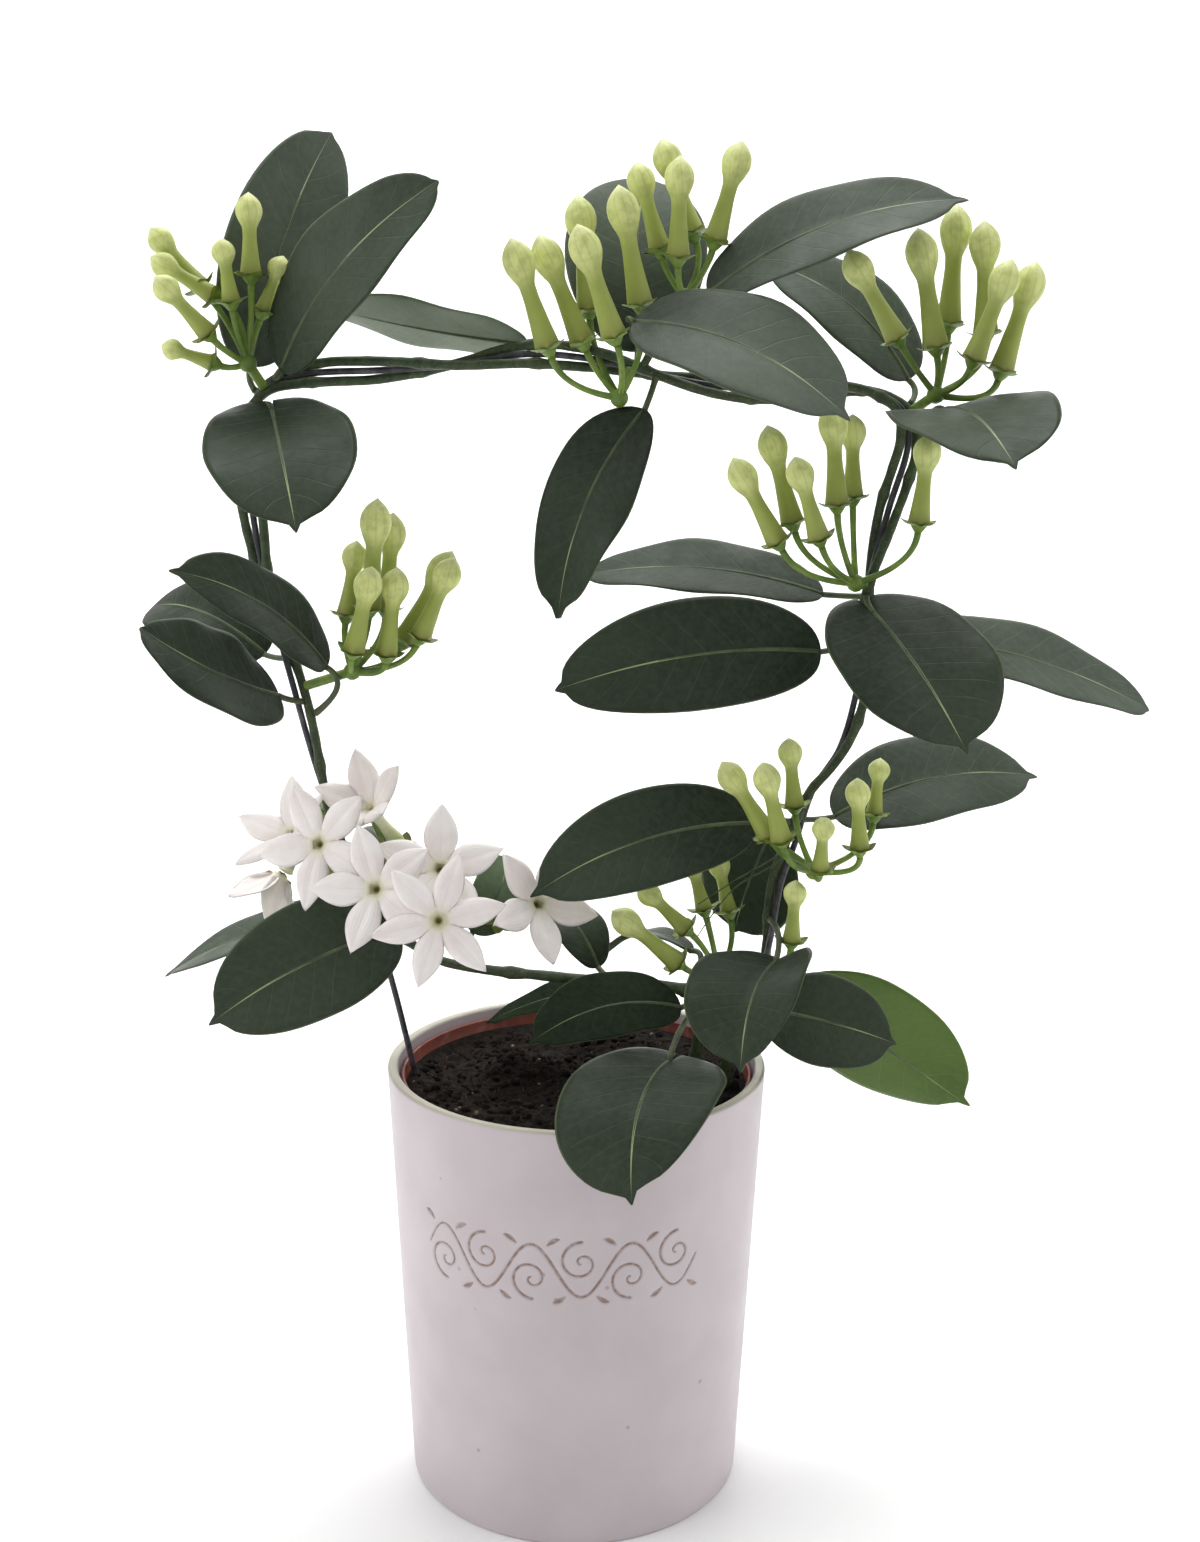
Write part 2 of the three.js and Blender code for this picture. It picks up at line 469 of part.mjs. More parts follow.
/** Stalk, five-pointed calyx and then the given rings, each a height and a reach, as one body. */
function stalkedForm(from, calyx, axis, levels) {
  const side = anySide(axis);
  const level = (height, reach, count = CALYX.sepals) => (
    ring(along(calyx, axis, height), side, axis.clone().cross(side), count, reach));
  const star = level(0, (j) => (j % 2 ? CALYX.notch : CALYX.reach), 2 * CALYX.sepals);
  const stalk = bow(from, along(calyx, axis, -CALYX.below), axis);
  return skin([
    ...leadIn(stalk, STALK.steps, CALYX.sepals, STALK.pedicel, side),
    level(-CALYX.below, () => STALK.pedicel), star,
    ...levels.map(([height, reach]) => level(height, () => reach, reach > 0 ? CALYX.sepals : 1)),
  ]);
}

function budSolid(from, calyx, tip) {
  const span = tip.clone().sub(calyx);
  const length = span.length();
  const girth = BUD.head * Math.sqrt(Math.min(1, length / BUD.length));
  const levels = BUD_PROFILE.map(([share, fullness]) => [share * length, fullness * girth]);
  return stalkedForm(from, calyx, unit(span), levels);
}

/** The thick stalk from a stem to the swollen hub where the pedicels part. */
function peduncle(heart) {
  const stalk = rod(new THREE.LineCurve3(nearestOnStem(heart), heart), 1, CALYX.sepals, () => STALK.peduncle);
  return stalk.add(solid(new THREE.IcosahedronGeometry(STALK.hub).translate(heart.x, heart.y, heart.z)));
}

function umbelSolid({ hub, buds }) {
  const heart = vec(hub);
  return united([peduncle(heart), ...buds.map(([calyx, tip]) => budSolid(heart, vec(calyx), vec(tip)))]);
}

// ---- Open flowers: a slim tube under a star of waxy lobes, joined at their feet ----
const radians = THREE.MathUtils.degToRad;

function facing({ bearing, lift }) {
  const [b, l] = [radians(bearing), radians(lift)];
  return vec([Math.sin(b) * Math.cos(l), -Math.cos(b) * Math.cos(l), Math.sin(l)]);
}

function flowerSolid(flower) {
  const [mouth, axis] = [vec(flower.mouth), facing(flower)];
  const above = squareTo(vec([0, 0, 1]), axis);
  const right = above.clone().cross(axis);
  const [cup, count] = [radians(flower.cup), flower.lobes ?? FLOWER.lobes];
  const width = (FLOWER.lobeWidth * FLOWER.lobes) / count;
  const outward = (turn) => {
    const angle = radians(flower.spin + (360 * turn) / count);
    return along(right.clone().multiplyScalar(Math.cos(angle)), above, Math.sin(angle));
  };
  const run = (turn) => along(outward(turn).multiplyScalar(Math.cos(cup)), axis, Math.sin(cup));
  const soup = [];
  const quad = (a, b, c, d) => soup.push(a, b, c, a, c, d);
  for (let i = 0; i < count; i += 1) {
    const side = axis.clone().cross(outward(i));
    const up = run(i).cross(side);
    const rows = LOBE_STATIONS.map(([share, fullness]) => {
      const reach = along(mouth, run(i), share * FLOWER.lobeLength);
      const spine = along(reach, up, -FLOWER.recurve * share * share);
      const [wide, thick] = [(fullness * width) / 2, share < 1 ? FLOWER.lobeThickness / 2 : 0];
      const [left, rightEdge] = [wide, -wide].map((d) => (
        along(along(spine, side, d), up, -FLOWER.roll * fullness)));
      return [{ top: along(spine, up, thick), under: along(spine, up, -thick) }, left, rightEdge];
    });
    const [dish, keel] = [FLOWER.lobeThickness / 2, -FLOWER.lobeThickness].map((d) => along(mouth, axis, d));
    const sinuses = [0.5, -0.5].map((halfTurn) => along(mouth, run(i + halfTurn), FLOWER.sinus));
    rows.unshift([{ top: dish, under: keel }, ...sinuses]);
    rows.slice(1).forEach(([spine, left, rightEdge], k) => {
      const [innerSpine, innerLeft, innerRight] = rows[k];
      quad(innerSpine.top, spine.top, left, innerLeft);
      quad(innerSpine.top, innerRight, rightEdge, spine.top);
      quad(innerSpine.under, innerLeft, left, spine.under);
      quad(innerSpine.under, spine.under, rightEdge, innerRight);
    });
  }
  const tubeAt = (share) => along(mouth, axis, (share - 1) * FLOWER.tubeLength);
  const tube = skin(TUBE_PROFILE.map(([share, radius]) => (
    ring(tubeAt(share), right, above, CALYX.sepals, () => radius))));
  return tube.add(solid(new THREE.BufferGeometry().setFromPoints(soup)));
}

/** The green stalks of the open flowers; each calyx ends in a low cone just under its tube. */
function flowerStalks() {
  const heart = vec(FLOWER_HUB);
  return united([peduncle(heart), ...FLOWERS.map((flower) => {
    const axis = facing(flower);
    const calyx = along(vec(flower.mouth), axis, -(FLOWER.tubeLength + GAP + CALYX.above));
    return stalkedForm(heart, calyx, axis, [[CALYX.above, CALYX.notch / 2]]);
  })]);
}

// ---- Assembly: growth is trimmed to stand a hair clear of the wire and the stems it springs from ----
const wireClearance = wireRod(GAP);
const clearance = united([...stemRods(GAP), wireClearance]);
const trimmed = (shape) => shape.subtract(clearance);

const jasmine = new THREE.Group();
jasmine.add(
  mesh('cover_pot', coverPot(), FINISH.pot),
  mesh('nursery_pot', nurseryPot(), FINISH.nursery),
  mesh('soil', soilFill().subtract(clearance), FINISH.soil),
  mesh('wire_hoop', wireRod(0), FINISH.wire),
  ...stemRods(0).map((shape, i) => mesh(STEMS[i].name, shape.subtract(wireClearance), FINISH.stem)),
  ...LEAVES.map((leaf) => mesh(leaf.name, trimmed(leafSolid(leaf)), FINISH.leaf)),
  ...UMBELS.map((umbel) => mesh(umbel.name, trimmed(umbelSolid(umbel)), FINISH.bud)),
  mesh('flower_stalks', trimmed(flowerStalks()), FINISH.stem),
  ...FLOWERS.map((flower) => mesh(flower.name, flowerSolid(flower), FINISH.petal)),
);

export default jasmine;
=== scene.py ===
"""Madagascar jasmine on its wire hoop, in a nursery pot inside a ceramic cover pot: the finished look.

Lengths are in millimetres up to Skin.mesh, which writes metres. The tables repeat those of the CAD source.
"""
import math
import random
from types import SimpleNamespace as Values

import bmesh
import bpy
import numpy as np
from mathutils import Matrix, Vector, noise


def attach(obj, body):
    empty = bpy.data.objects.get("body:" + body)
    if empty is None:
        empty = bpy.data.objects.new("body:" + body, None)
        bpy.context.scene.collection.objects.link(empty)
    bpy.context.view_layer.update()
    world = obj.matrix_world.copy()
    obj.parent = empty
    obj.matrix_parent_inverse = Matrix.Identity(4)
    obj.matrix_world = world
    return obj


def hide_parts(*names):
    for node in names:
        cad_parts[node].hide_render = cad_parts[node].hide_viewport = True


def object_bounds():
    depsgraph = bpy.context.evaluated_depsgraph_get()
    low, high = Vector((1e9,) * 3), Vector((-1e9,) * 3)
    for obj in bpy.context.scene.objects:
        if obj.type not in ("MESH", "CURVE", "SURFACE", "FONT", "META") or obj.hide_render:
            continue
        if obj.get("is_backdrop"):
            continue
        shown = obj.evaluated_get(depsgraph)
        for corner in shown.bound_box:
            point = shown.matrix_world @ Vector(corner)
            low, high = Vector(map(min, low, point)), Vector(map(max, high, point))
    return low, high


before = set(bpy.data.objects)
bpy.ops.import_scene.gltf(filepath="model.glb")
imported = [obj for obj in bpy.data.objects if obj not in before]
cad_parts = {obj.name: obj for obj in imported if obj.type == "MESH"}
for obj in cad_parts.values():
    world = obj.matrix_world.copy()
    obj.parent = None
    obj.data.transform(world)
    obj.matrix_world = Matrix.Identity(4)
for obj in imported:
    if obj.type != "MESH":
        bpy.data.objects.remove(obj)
cad_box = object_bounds()

MM = 0.001
TAU = 2 * math.pi

# ---- Driving dimensions, as in the CAD source ----
GAP = 0.3
POT = Values(rim_radius=72.5, base_radius=64.2, height=166.6, wall=4, floor=5, bevel=1.2, corner=2)
NURSERY = Values(base=50, body=64, band=67.2, band_foot=149, band_taper=0.6, rim=163, wall=1.2)
DRAIN = Values(count=5, radius=4, ring=30)
SOIL = Values(level=158.5, relief=1.3, seed=7, rings=60, sides=150, crumbs=700, grits=34, fibres=170,
              fibre=0.22)
WIRE_RADIUS = 1.2
STEM = Values(radius=1.75, base=2.6, taper=0.16, shoot=1.4, tendril=0.4, knot_gap=46, knot=0.3, grain=0.12)
TWINE = Values(radius=3.5, pitch=150, points=12)
LEAF = Values(thickness=1, petiole=1.25, bow=0.5, set_back=8, fullness=0.44, lean=0.92, point_width=4.4,
              point_end=0.15, waves=3, rows=36, columns=15, groove=0.35, groove_width=0.9, ripple=0.8,
              ripple_waves=2.3, ease=0.12, rib=1.15, rib_end=0.94, rib_squash=0.8)
BUD = Values(head=5.9, length=42, seam=0.11, twist=1.6, sides=30, steps=29)
STALK = Values(peduncle=1.8, hub=3.3, pedicel=1.2, bow=0.42)
CALYX = Values(sepals=5, reach=7, root=2.2, half_width=2.5, lift=1.5, below=3.2, above=1.8)
FLOWER = Values(lobes=5, length=24, width=12.5, thickness=1.2, recurve=3, roll=0.8, sinus=5, tube=27,
                throat=2.2, swell=0.8, ruffle=0.7, dish=0.1)

# share of the length -> share of the bud's head, of the lobe's width, or the tube's radius
BUD_SHAPE = [(0.03, 0.78), (0.12, 0.7), (0.3, 0.58), (0.5, 0.5), (0.58, 0.54), (0.66, 0.78), (0.74, 0.96),
             (0.8, 0.98), (0.87, 0.86), (0.94, 0.52), (1, 0)]
LOBE_SHAPE = [(0.169, 0.54), (0.26, 0.74), (0.38, 0.94), (0.48, 1), (0.6, 0.95), (0.72, 0.78), (0.84, 0.5),
              (0.93, 0.24), (1, 0)]
TUBE_SHAPE = [(0, 2.3), (0.1, 2.9), (0.2, 3.1), (0.4, 2.5), (0.6, 2.1), (0.88, 2.5), (0.96, 3), (1, 3.5)]
# depth below a flower's mouth -> radius of the dimple there
FUNNEL = [(-2, 0), (-1.8, 0.7), (-0.9, 0.85), (-0.3, 1.3), (0.3, FLOWER.throat), (0.5, FLOWER.throat + 0.7)]

# the scroll cut into the cover pot's front: a vine with a volute and two small leaves at each bend
ORNAMENT = Values(left=-60, right=48, level=113, swing=10, halves=6, steps=150, stroke=2.0, depth=0.6, low=84,
                  high=142, grain=0.5, reach=70)
VOLUTE = Values(reach=7.6, eye=0.6, turns=1.4, ease=1.1, steps=60)
LEAFLET = Values(length=4.5, offset=0.16, steps=10)

# ---- Vectors and curves ----
ORIGIN = np.zeros(3)
EAST, NORTH, UP = np.eye(3)
MEASURE_STEPS = 200  # steps that a curve is measured in
TANGENT_REACH = 1e-4
EDGE_POWER = 8  # the higher, the squarer a thin edge


def vec(place):
    return np.array(place, float)


def unit(v):
    return v / np.linalg.norm(v)


def square_to(v, axis):
    return unit(v - axis * (v @ axis))


def any_side(axis):
    """A direction square to an axis, the same one each time."""
    return square_to(UP if abs(axis[2]) < 0.9 else NORTH, axis)


def swung(a, b, angle, reach=1.0):
    """From direction a towards b by an angle."""
    return a * (reach * math.cos(angle)) + b * (reach * math.sin(angle))


def smooth(x):
    x = min(1.0, max(0.0, x))
    return x * x * (3 - 2 * x)


def rounded(u):
    """Share of the full thickness between two edges at -1 and 1."""
    return math.sqrt(max(0.0, 1 - abs(u) ** EDGE_POWER))


def eased(table, x):
    """A smooth curve through the (place, value) pairs of a table."""
    xs, ys = zip(*table)
    slopes = np.gradient(ys, xs)
    k = int(np.clip(np.searchsorted(xs, x) - 1, 0, len(xs) - 2))
    width = xs[k + 1] - xs[k]
    t = min(1.0, max(0.0, (x - xs[k]) / width))
    return ((2 * t**3 - 3 * t**2 + 1) * ys[k] + (t**3 - 2 * t**2 + t) * slopes[k] * width
            + (3 * t**2 - 2 * t**3) * ys[k + 1] + (t**3 - t**2) * slopes[k + 1] * width)


class Line:
    """A curve given by point(t), with t from 0 to 1."""

    def __init__(self, point):
        self.point = point
        self.steps = np.linspace(0, 1, MEASURE_STEPS + 1)
        spots = np.array([point(t) for t in self.steps])
        gaps = np.linalg.norm(np.diff(spots, axis=0), axis=1)
        self.lengths = np.concatenate([[0.0], np.cumsum(gaps)])
        self.length = self.lengths[-1]

    def where(self, share):
        """t at a share of the length."""
        return float(np.interp(share * self.length, self.lengths, self.steps))

    def tangent(self, t):
        low, high = max(0.0, t - TANGENT_REACH), min(1.0, t + TANGENT_REACH)
        return unit(self.point(high) - self.point(low))

    def spaced(self, count):
        return [self.point(self.where(k / count)) for k in range(count + 1)]


def routed(points):
    """A centripetal Catmull-Rom curve through points."""
    points = [vec(p) for p in points]
    ends = [2 * points[0] - points[1], *points, 2 * points[-1] - points[-2]]

    def point(t):
        place = t * (len(points) - 1)
        k = min(int(place), len(points) - 2)
        w = place - k
        a, b, c, d = ends[k:k + 4]
        before, here, after = (max(np.linalg.norm(q - p), 1e-6) ** 0.5 for p, q in ((a, b), (b, c), (c, d)))
        leave = ((b - a) / before - (c - a) / (before + here) + (c - b) / here) * here
        arrive = ((c - b) / here - (d - b) / (here + after) + (d - c) / after) * here
        return (b + leave * w + (-3 * b + 3 * c - 2 * leave - arrive) * w**2
                + (2 * b - 2 * c + leave + arrive) * w**3)

    return Line(point)


def bezier(start, bend, end):
    return Line(lambda t: start * (1 - t) ** 2 + bend * (2 * t * (1 - t)) + end * t**2)


def nearest(spots, place):
    return min(spots, key=lambda spot: np.linalg.norm(spot - place))


# ---- Routes: given points of the wire, of the shoot and of two loose tendrils ----
HOOP = [
    (-50, 2, 62), (-56, 3, 120), (-60, 4, 148), (-63.6, 4, 163), (-73, 3, 204), (-86, 1, 245), (-97, 0, 279),
    (-106, 0, 314), (-113, 0, 343), (-118, 0, 372), (-120, 0, 400), (-115, 0, 417), (-99, 0, 424),
    (-71, 0, 426), (-45, 0, 428), (-18, 0, 432), (7, 0, 430), (28, 0, 425), (52, 0, 421), (79, 0, 420),
    (102, 0, 420), (115, 0, 414), (118, 0, 402), (112, 0, 378), (106, 0, 351), (104, 0, 324), (102, 0, 307),
    (97, 0, 289), (88, 0, 274), (82, 0, 254), (77, 0, 238), (73, 0, 213), (68, 1, 191), (62.5, 3, 163),
    (59.5, 3, 148), (50, 2, 62),
]
# where a stem's twining starts and ends, as shares of the hoop, its first angle, and its way up to there
STEMS = {
    "stem_left": (0.155, 0.715, 2.2, [(40, -3, 112), (43, -3, 158), (47, -4, 180), (43, -5, 195),
        (33, -5, 198), (7, -5, 200), (-14, -5, 202), (-34, -5, 204), (-52, -6, 208), (-66, -6, 216)]),
    "stem_right": (0.865, 0.292, 5.3, [(54, -7, 112), (56, -7, 158), (61, -8, 185), (67, -7, 205)]),
}
SHOOT_STEM = "stem_left"
SHOOT = [(22, -3, 425), (27, -8, 436), (36, -7, 447), (44, -7, 453)]
TENDRILS = {"stem_right": [
    [(77, -6, 254), (75, -8, 251), (57.5, -12, 241), (45, -14, 233)],
    [(77, -6, 250), (75, -8, 248), (59, -13, 239.5), (50, -15, 229), (45, -15, 221)],
]}


# ---- Leaves ----
def blade(base, tip, face, width, root=None, point=0.06, fold=0.1, arch=8, sweep=0, lobe=0, skew=0, wave=0,
          upper="top", lower="under"):
    """One leaf; face is the way its upper side looks, root a point near where its petiole leaves the stem."""
    return Values(**locals())


LEAVES = {
    "top_left_back": blade((-119, 8, 427), (-91, 30, 510), (0.4, -0.9, 0.2), 40, sweep=5, point=0.02,
        upper="sheen"),
    "top_left_front": blade((-105, -10, 426), (-48, -20, 489), (-0.4, -0.8, 0.5), 42, root=(-107, 0, 424),
        sweep=2, point=0.02, upper="mid"),
    "top_left_hanging": blade((-108, -14, 412), (-92, -67, 374), (0, -0.5, 0.8), 52, root=(-116, 0, 406),
        arch=5, lobe=10),
    "top_left_inner": blade((-19, 7, 436), (-103, 34, 451), (0.1, 0.5, 0.86), 34, arch=-2, upper="grey",
        lower="grey"),
    "left_upper": blade((-91, -14, 321), (-141, -38, 358), (0.3, -0.5, 0.8), 36, root=(-102, -1, 300), arch=6,
        sweep=-4),
    "left_back": blade((-117, 8, 322), (-164, 34, 336), (-0.1, -0.6, 0.8), 38, arch=10, point=0.02),
    "left_lower": blade((-110, -6, 309), (-152, -38, 338), (0.1, -0.6, 0.8), 42, arch=2, sweep=6, point=0.02),
    "low_left_front": blade((-66, -16, 223), (-133, -38, 193), (-0.1, -0.85, 0.45), 45, root=(-56, -6, 210),
        sweep=-2),
    "low_left_back": blade((-80, 9, 219), (-165, 32, 188), (0, -0.2, 1), 40, arch=7, upper="mid"),
    "flowers_right": blade((-41, 17, 212), (-30, 42, 236), (0.5, -0.7, 0.3), 24, upper="under"),
    "flowers_back": blade((-75, 17, 230), (-83, 37, 249), (0.3, -0.8, 0.3), 20, root=(-68, 2, 210)),
    "small_middle": blade((8, 2, 203), (-13, 26, 220), (0.4, -0.7, 0.5), 22),
    "over_soil_front": blade((39, -15, 193), (-17, -34, 185), (0, -0.5, 0.85), 32, arch=6, sweep=-4,
        upper="matte_shaded"),
    "over_soil_back": blade((15, 5, 194), (-36, 22, 173), (0, -0.15, 1), 28, arch=3, upper="matte_shaded"),
    "over_rim": blade((34, -40, 181), (20, -100, 153), (-0.1, -0.45, 0.85), 56, lobe=10, arch=9, sweep=-4,
        skew=8),
    "rim_folded": blade((73, -27, 215), (58, -68, 188), (-0.4, -0.5, 0.75), 46, root=(71, -4, 222), fold=0.45,
        lobe=5),
    "right_dark": blade((71, -8, 190), (121, -12, 178), (0.1, -0.75, 0.65), 38, arch=4),
    "right_bright": blade((84, 14, 193), (158, 26, 138), (0.3, 0.9, 0.3), 54, arch=3, sweep=2, upper="bright",
        lower="bright"),
    "mid_left_front": blade((66, -6, 262), (-17, -20, 237), (-0.1, -0.85, 0.5), 38, sweep=-5),
    "mid_left_back": blade((74, 12, 255), (62, 30, 209), (-0.3, -0.85, 0.3), 42, arch=4, upper="mid"),
    "low_right": blade((97, 6, 262), (177, 24, 274), (0, -0.6, 0.8), 42, sweep=3, upper="sheen"),
    "mid_right_round": blade((106, -12, 342), (133, -60, 300), (0.1, -0.6, 0.8), 60, arch=4, lobe=10),
    "mid_right_far": blade((125, 10, 329), (219, 26, 300), (0, -0.55, 0.85), 37, arch=5, sweep=3, point=0.02,
        upper="sheen"),
    "centre_lower": blade((88, -8, 327), (-8, -26, 315), (0, -0.9, 0.4), 42, arch=6, sweep=-4, point=0.03),
    "centre_upper": blade((90, 8, 346), (1, 28, 350), (0, -0.5, 0.8), 32, point=0.03, upper="sheen"),
    "centre_hanging": blade((23, -9, 413), (-7, -20, 340), (-0.4, -0.9, 0.2), 34, arch=5, sweep=-5, wave=2),
    "top_front": blade((19, -22, 443), (90, -53, 411), (0.1, -0.7, 0.7), 47, root=(27, -8, 436), sweep=3,
        upper="sheen"),
    "top_right": blade((45, -9, 453), (134, -9, 485), (0.1, -0.6, 0.8), 38, arch=9, sweep=2, upper="sheen"),
    "top_right_back": blade((119, 12, 424), (66, 34, 466), (0.1, -0.7, 0.7), 36, arch=6, sweep=-5,
        upper="sheen"),
    "top_back_round": blade((21, 14, 439), (25, 52, 498), (0, -0.85, 0.5), 52, lobe=6, sweep=3,
        upper="sheen"),
    "right_corner": blade((127, -18, 414), (140, -80, 397), (-0.1, -0.3, 0.95), 56, root=(118, 0, 398),
        arch=7, lobe=11, upper="mid"),
    "edge_on": blade((44, 8, 208), (10, 26, 200), (0.1, 0.1, 1), 20),
}

# ---- Bud umbels: the hub that the pedicels spring from, then calyx and tip of each bud ----
UMBELS = {
    "top_left": ((-117, -8, 428), [((-115, -8, 458), (-115, -8, 486)), ((-121, -14, 449), (-123, -18, 470)),
        ((-133, -6, 454), (-150, -6, 474)), ((-128, -9, 451), (-149, -12, 464)),
        ((-129, -16, 438), (-145, -24, 457)), ((-129, -10, 428), (-146, -14, 434)),
        ((-112, -3, 446), (-104, -4, 465))]),
    "top_middle": ((14, -8, 417), [((-11, -14, 434), (-24, -16, 471)), ((1, -5, 436), (-15, -3, 473)),
        ((12, -20, 438), (-1, -26, 475)), ((3, 2, 447), (-1, 3, 487)), ((21, -10, 449), (13, -13, 489))]),
    "top_back": ((37, 2, 452), [((28, 0, 468), (19, 2, 498)), ((40, 9, 474), (28, 14, 507)),
        ((34, -8, 465), (34, -10, 499)), ((47, -2, 471), (56, -2, 505))]),
    "top_right": ((126, -7, 419), [((111, -12, 438), (92, -14, 468)), ((125, -9, 435), (117, -8, 476)),
        ((131, 2, 443), (133, 6, 485)), ((143, -5, 440), (141, -3, 479)), ((137, -16, 431), (148, -20, 465)),
        ((148, -10, 427), (159, -8, 465))]),
    "right": ((100, -7, 352), [((71, -14, 367), (54, -16, 397)), ((77, -4, 373), (67, -2, 408)),
        ((85, -19, 369), (75, -24, 398)), ((92, -10, 380), (89, -10, 416)), ((99, 1, 382), (98, 2, 412)),
        ((121, -13, 374), (123, -15, 406))]),
    "low_right": ((88, -10, 245), [((70, -20, 261), (52, -22, 289)), ((74, -26, 261), (66, -32, 291)),
        ((80, -11, 270), (77, -12, 296)), ((89, -21, 249), (89, -28, 270)),
        ((104, -15, 255), (102, -16, 282)), ((110, -7, 266), (112, -4, 287))]),
    "low_middle": ((54, -5, 202), [((38, -10, 209), (13, -16, 231)), ((41, -6, 221), (23, -8, 239)),
        ((48, 0, 227), (42, 2, 248)), ((58, 7, 224), (53, 12, 246)), ((80, -14, 219), (81, -15, 243))]),
    "left": ((-82, -11, 319), [((-75, -15, 342), (-71, -17, 382)), ((-70, -6, 341), (-67, -4, 376)),
        ((-84, -9, 339), (-80, -6, 366)), ((-80, -21, 328), (-72, -28, 359)),
        ((-69, -16, 326), (-64, -20, 358)), ((-64, -6, 329), (-46, 0, 362)),
        ((-57, -13, 332), (-44, -16, 361))]),
}


# ---- Open flowers ----
def bloom(mouth, bearing, lift, spin, cup, lobes=FLOWER.lobes):
    """One flower: its mouth faces a bearing and a lift, spin turns its first lobe, cup closes it."""
    bearing, lift = math.radians(bearing), math.radians(lift)
    level = vec((math.sin(bearing), -math.cos(bearing), 0))
    axis = swung(level, UP, lift)
    return Values(mouth=vec(mouth), axis=axis, spin=spin, cup=math.radians(cup), lobes=lobes)


FLOWER_HUB = vec((-66, -9, 231))
FLOWERS = {
    "top": bloom((-76, -7, 266), -24, 42, 39, 50),
    "left": bloom((-92, -34, 260), -22, 20, 52, 10),
    "left_back": bloom((-106, -7, 256), -48, 46, 45, 32),
    "drooping": bloom((-112, 10, 238.5), -78, -56, 62, 56),
    "centre": bloom((-70, -50, 248), -14, 22, 40, 12),
    "upper_right": bloom((-49, -34, 251), 6, 31, 15, 18),
    "front": bloom((-47, -64, 241), 6, 18, 12, 6, 6),
    "right": bloom((-15, -12, 232), 34, 25, 50, 20),
}


# ---- Skins: what a piece's mesh is gathered in ----
WELD = 1e-3  # points closer than this are one


def weld(mesh):
    shape = bmesh.new()
    shape.from_mesh(mesh)
    bmesh.ops.remove_doubles(shape, verts=shape.verts, dist=WELD * MM)
    shape.to_mesh(mesh)
    shape.free()


def placed(name, data):
    """A new object in the scene."""
    item = bpy.data.objects.new(name, data)
    bpy.context.scene.collection.objects.link(item)
    return item


class Skin:
    """Points and quads of one piece, with a texture place and a finish for each quad."""

    def __init__(self):
        self.points, self.faces, self.places, self.finishes, self.stains = [], [], [], [], []

    def sheet(self, rows, across, along, finish=0, stain=None):
        """Quads over rows[n][m] of points; the last column may repeat the first one."""
        rows = np.asarray(rows)
        start, (n, m) = len(self.points), rows.shape[:2]
        self.points.extend(rows.reshape(-1, 3))
        self.stains.extend(np.zeros(n * m) if stain is None else stain.ravel())
        for i in range(n - 1):
            for j in range(m - 1):
                a = start + i * m + j
                self.faces.append((a, a + 1, a + m + 1, a + m))
                (u0, u1), (v0, v1) = across[j:j + 2], along[i:i + 2]
                self.places.extend(((u0, v0), (u1, v0), (u1, v1), (u0, v1)))
                self.finishes.append(finish)

    def turned(self, centre, axis, side, profile, sides, finish=0, reach=lambda radius, *place: radius):
        """A skin round an axis through (height, radius) pairs; reach may vary it by height and angle."""
        up = np.cross(axis, side)
        angles = np.linspace(0, TAU, sides + 1)
        rows = [[centre + axis * height + swung(side, up, a, reach(radius, height, a)) for a in angles]
                for height, radius in profile]
        low = profile[0][0]
        span = profile[-1][0] - low or 1.0
        self.sheet(rows, angles / TAU, [(h - low) / span for h, _ in profile], finish)

    def tube(self, line, steps, sides, radius_at, span=(0.0, 1.0), finish=0, squash=1.0):
        """A round skin along a curve, closed at both ends."""
        shares = np.linspace(*span, steps + 1)
        angles = np.linspace(0, TAU, sides + 1)
        side = any_side(line.tangent(shares[0]))
        rows = []
        for share in shares:
            tangent, centre = line.tangent(share), line.point(share)
            side = square_to(side, tangent)
            up = np.cross(tangent, side) * squash
            rows.append([centre + swung(side, up, a, radius_at(share)) for a in angles])
        first, last = line.point(shares[0]), line.point(shares[-1])
        rows = [[first] * len(angles), *rows, [last] * len(angles)]
        self.sheet(rows, angles / TAU, [shares[0], *shares, shares[-1]], finish)

    def mesh(self, name):
        """The bare mesh, in metres."""
        mesh = bpy.data.meshes.new(name)
        # a finer blade bows a hair beyond its facets, but not beyond the box of all the solids
        points = np.clip(np.array(self.points) * MM, *np.array(cad_box))
        mesh.from_pydata(points.tolist(), [], self.faces)
        return mesh

    def build(self, node, slot, *finishes):
        """The finer piece itself, welded and smooth, in place of its CAD node."""
        mesh = self.mesh(node + "_fine")
        mesh.uv_layers.new(name="place").data.foreach_set("uv", np.array(self.places).ravel())
        if any(self.stains):
            mesh.attributes.new("stain", "FLOAT", "POINT").data.foreach_set("value", np.array(self.stains))
        mesh.polygons.foreach_set("material_index", self.finishes)
        for finish in finishes:
            mesh.materials.append(finish)
        weld(mesh)
        mesh.shade_smooth()
        piece = placed(node + "_fine", mesh)
        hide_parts(node)
        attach(piece, "root")
        return piece


# ---- Pots ----
def pot_radius(z):
    return POT.base_radius + (POT.rim_radius - POT.base_radius) * z / POT.height


def arc(x, y, radius, start, end, steps):
    """Points of an arc in a profile, its angles in degrees."""
    angles = np.radians(np.linspace(start, end, steps + 1))
    return [(x + radius * math.cos(a), y + radius * math.sin(a)) for a in angles]


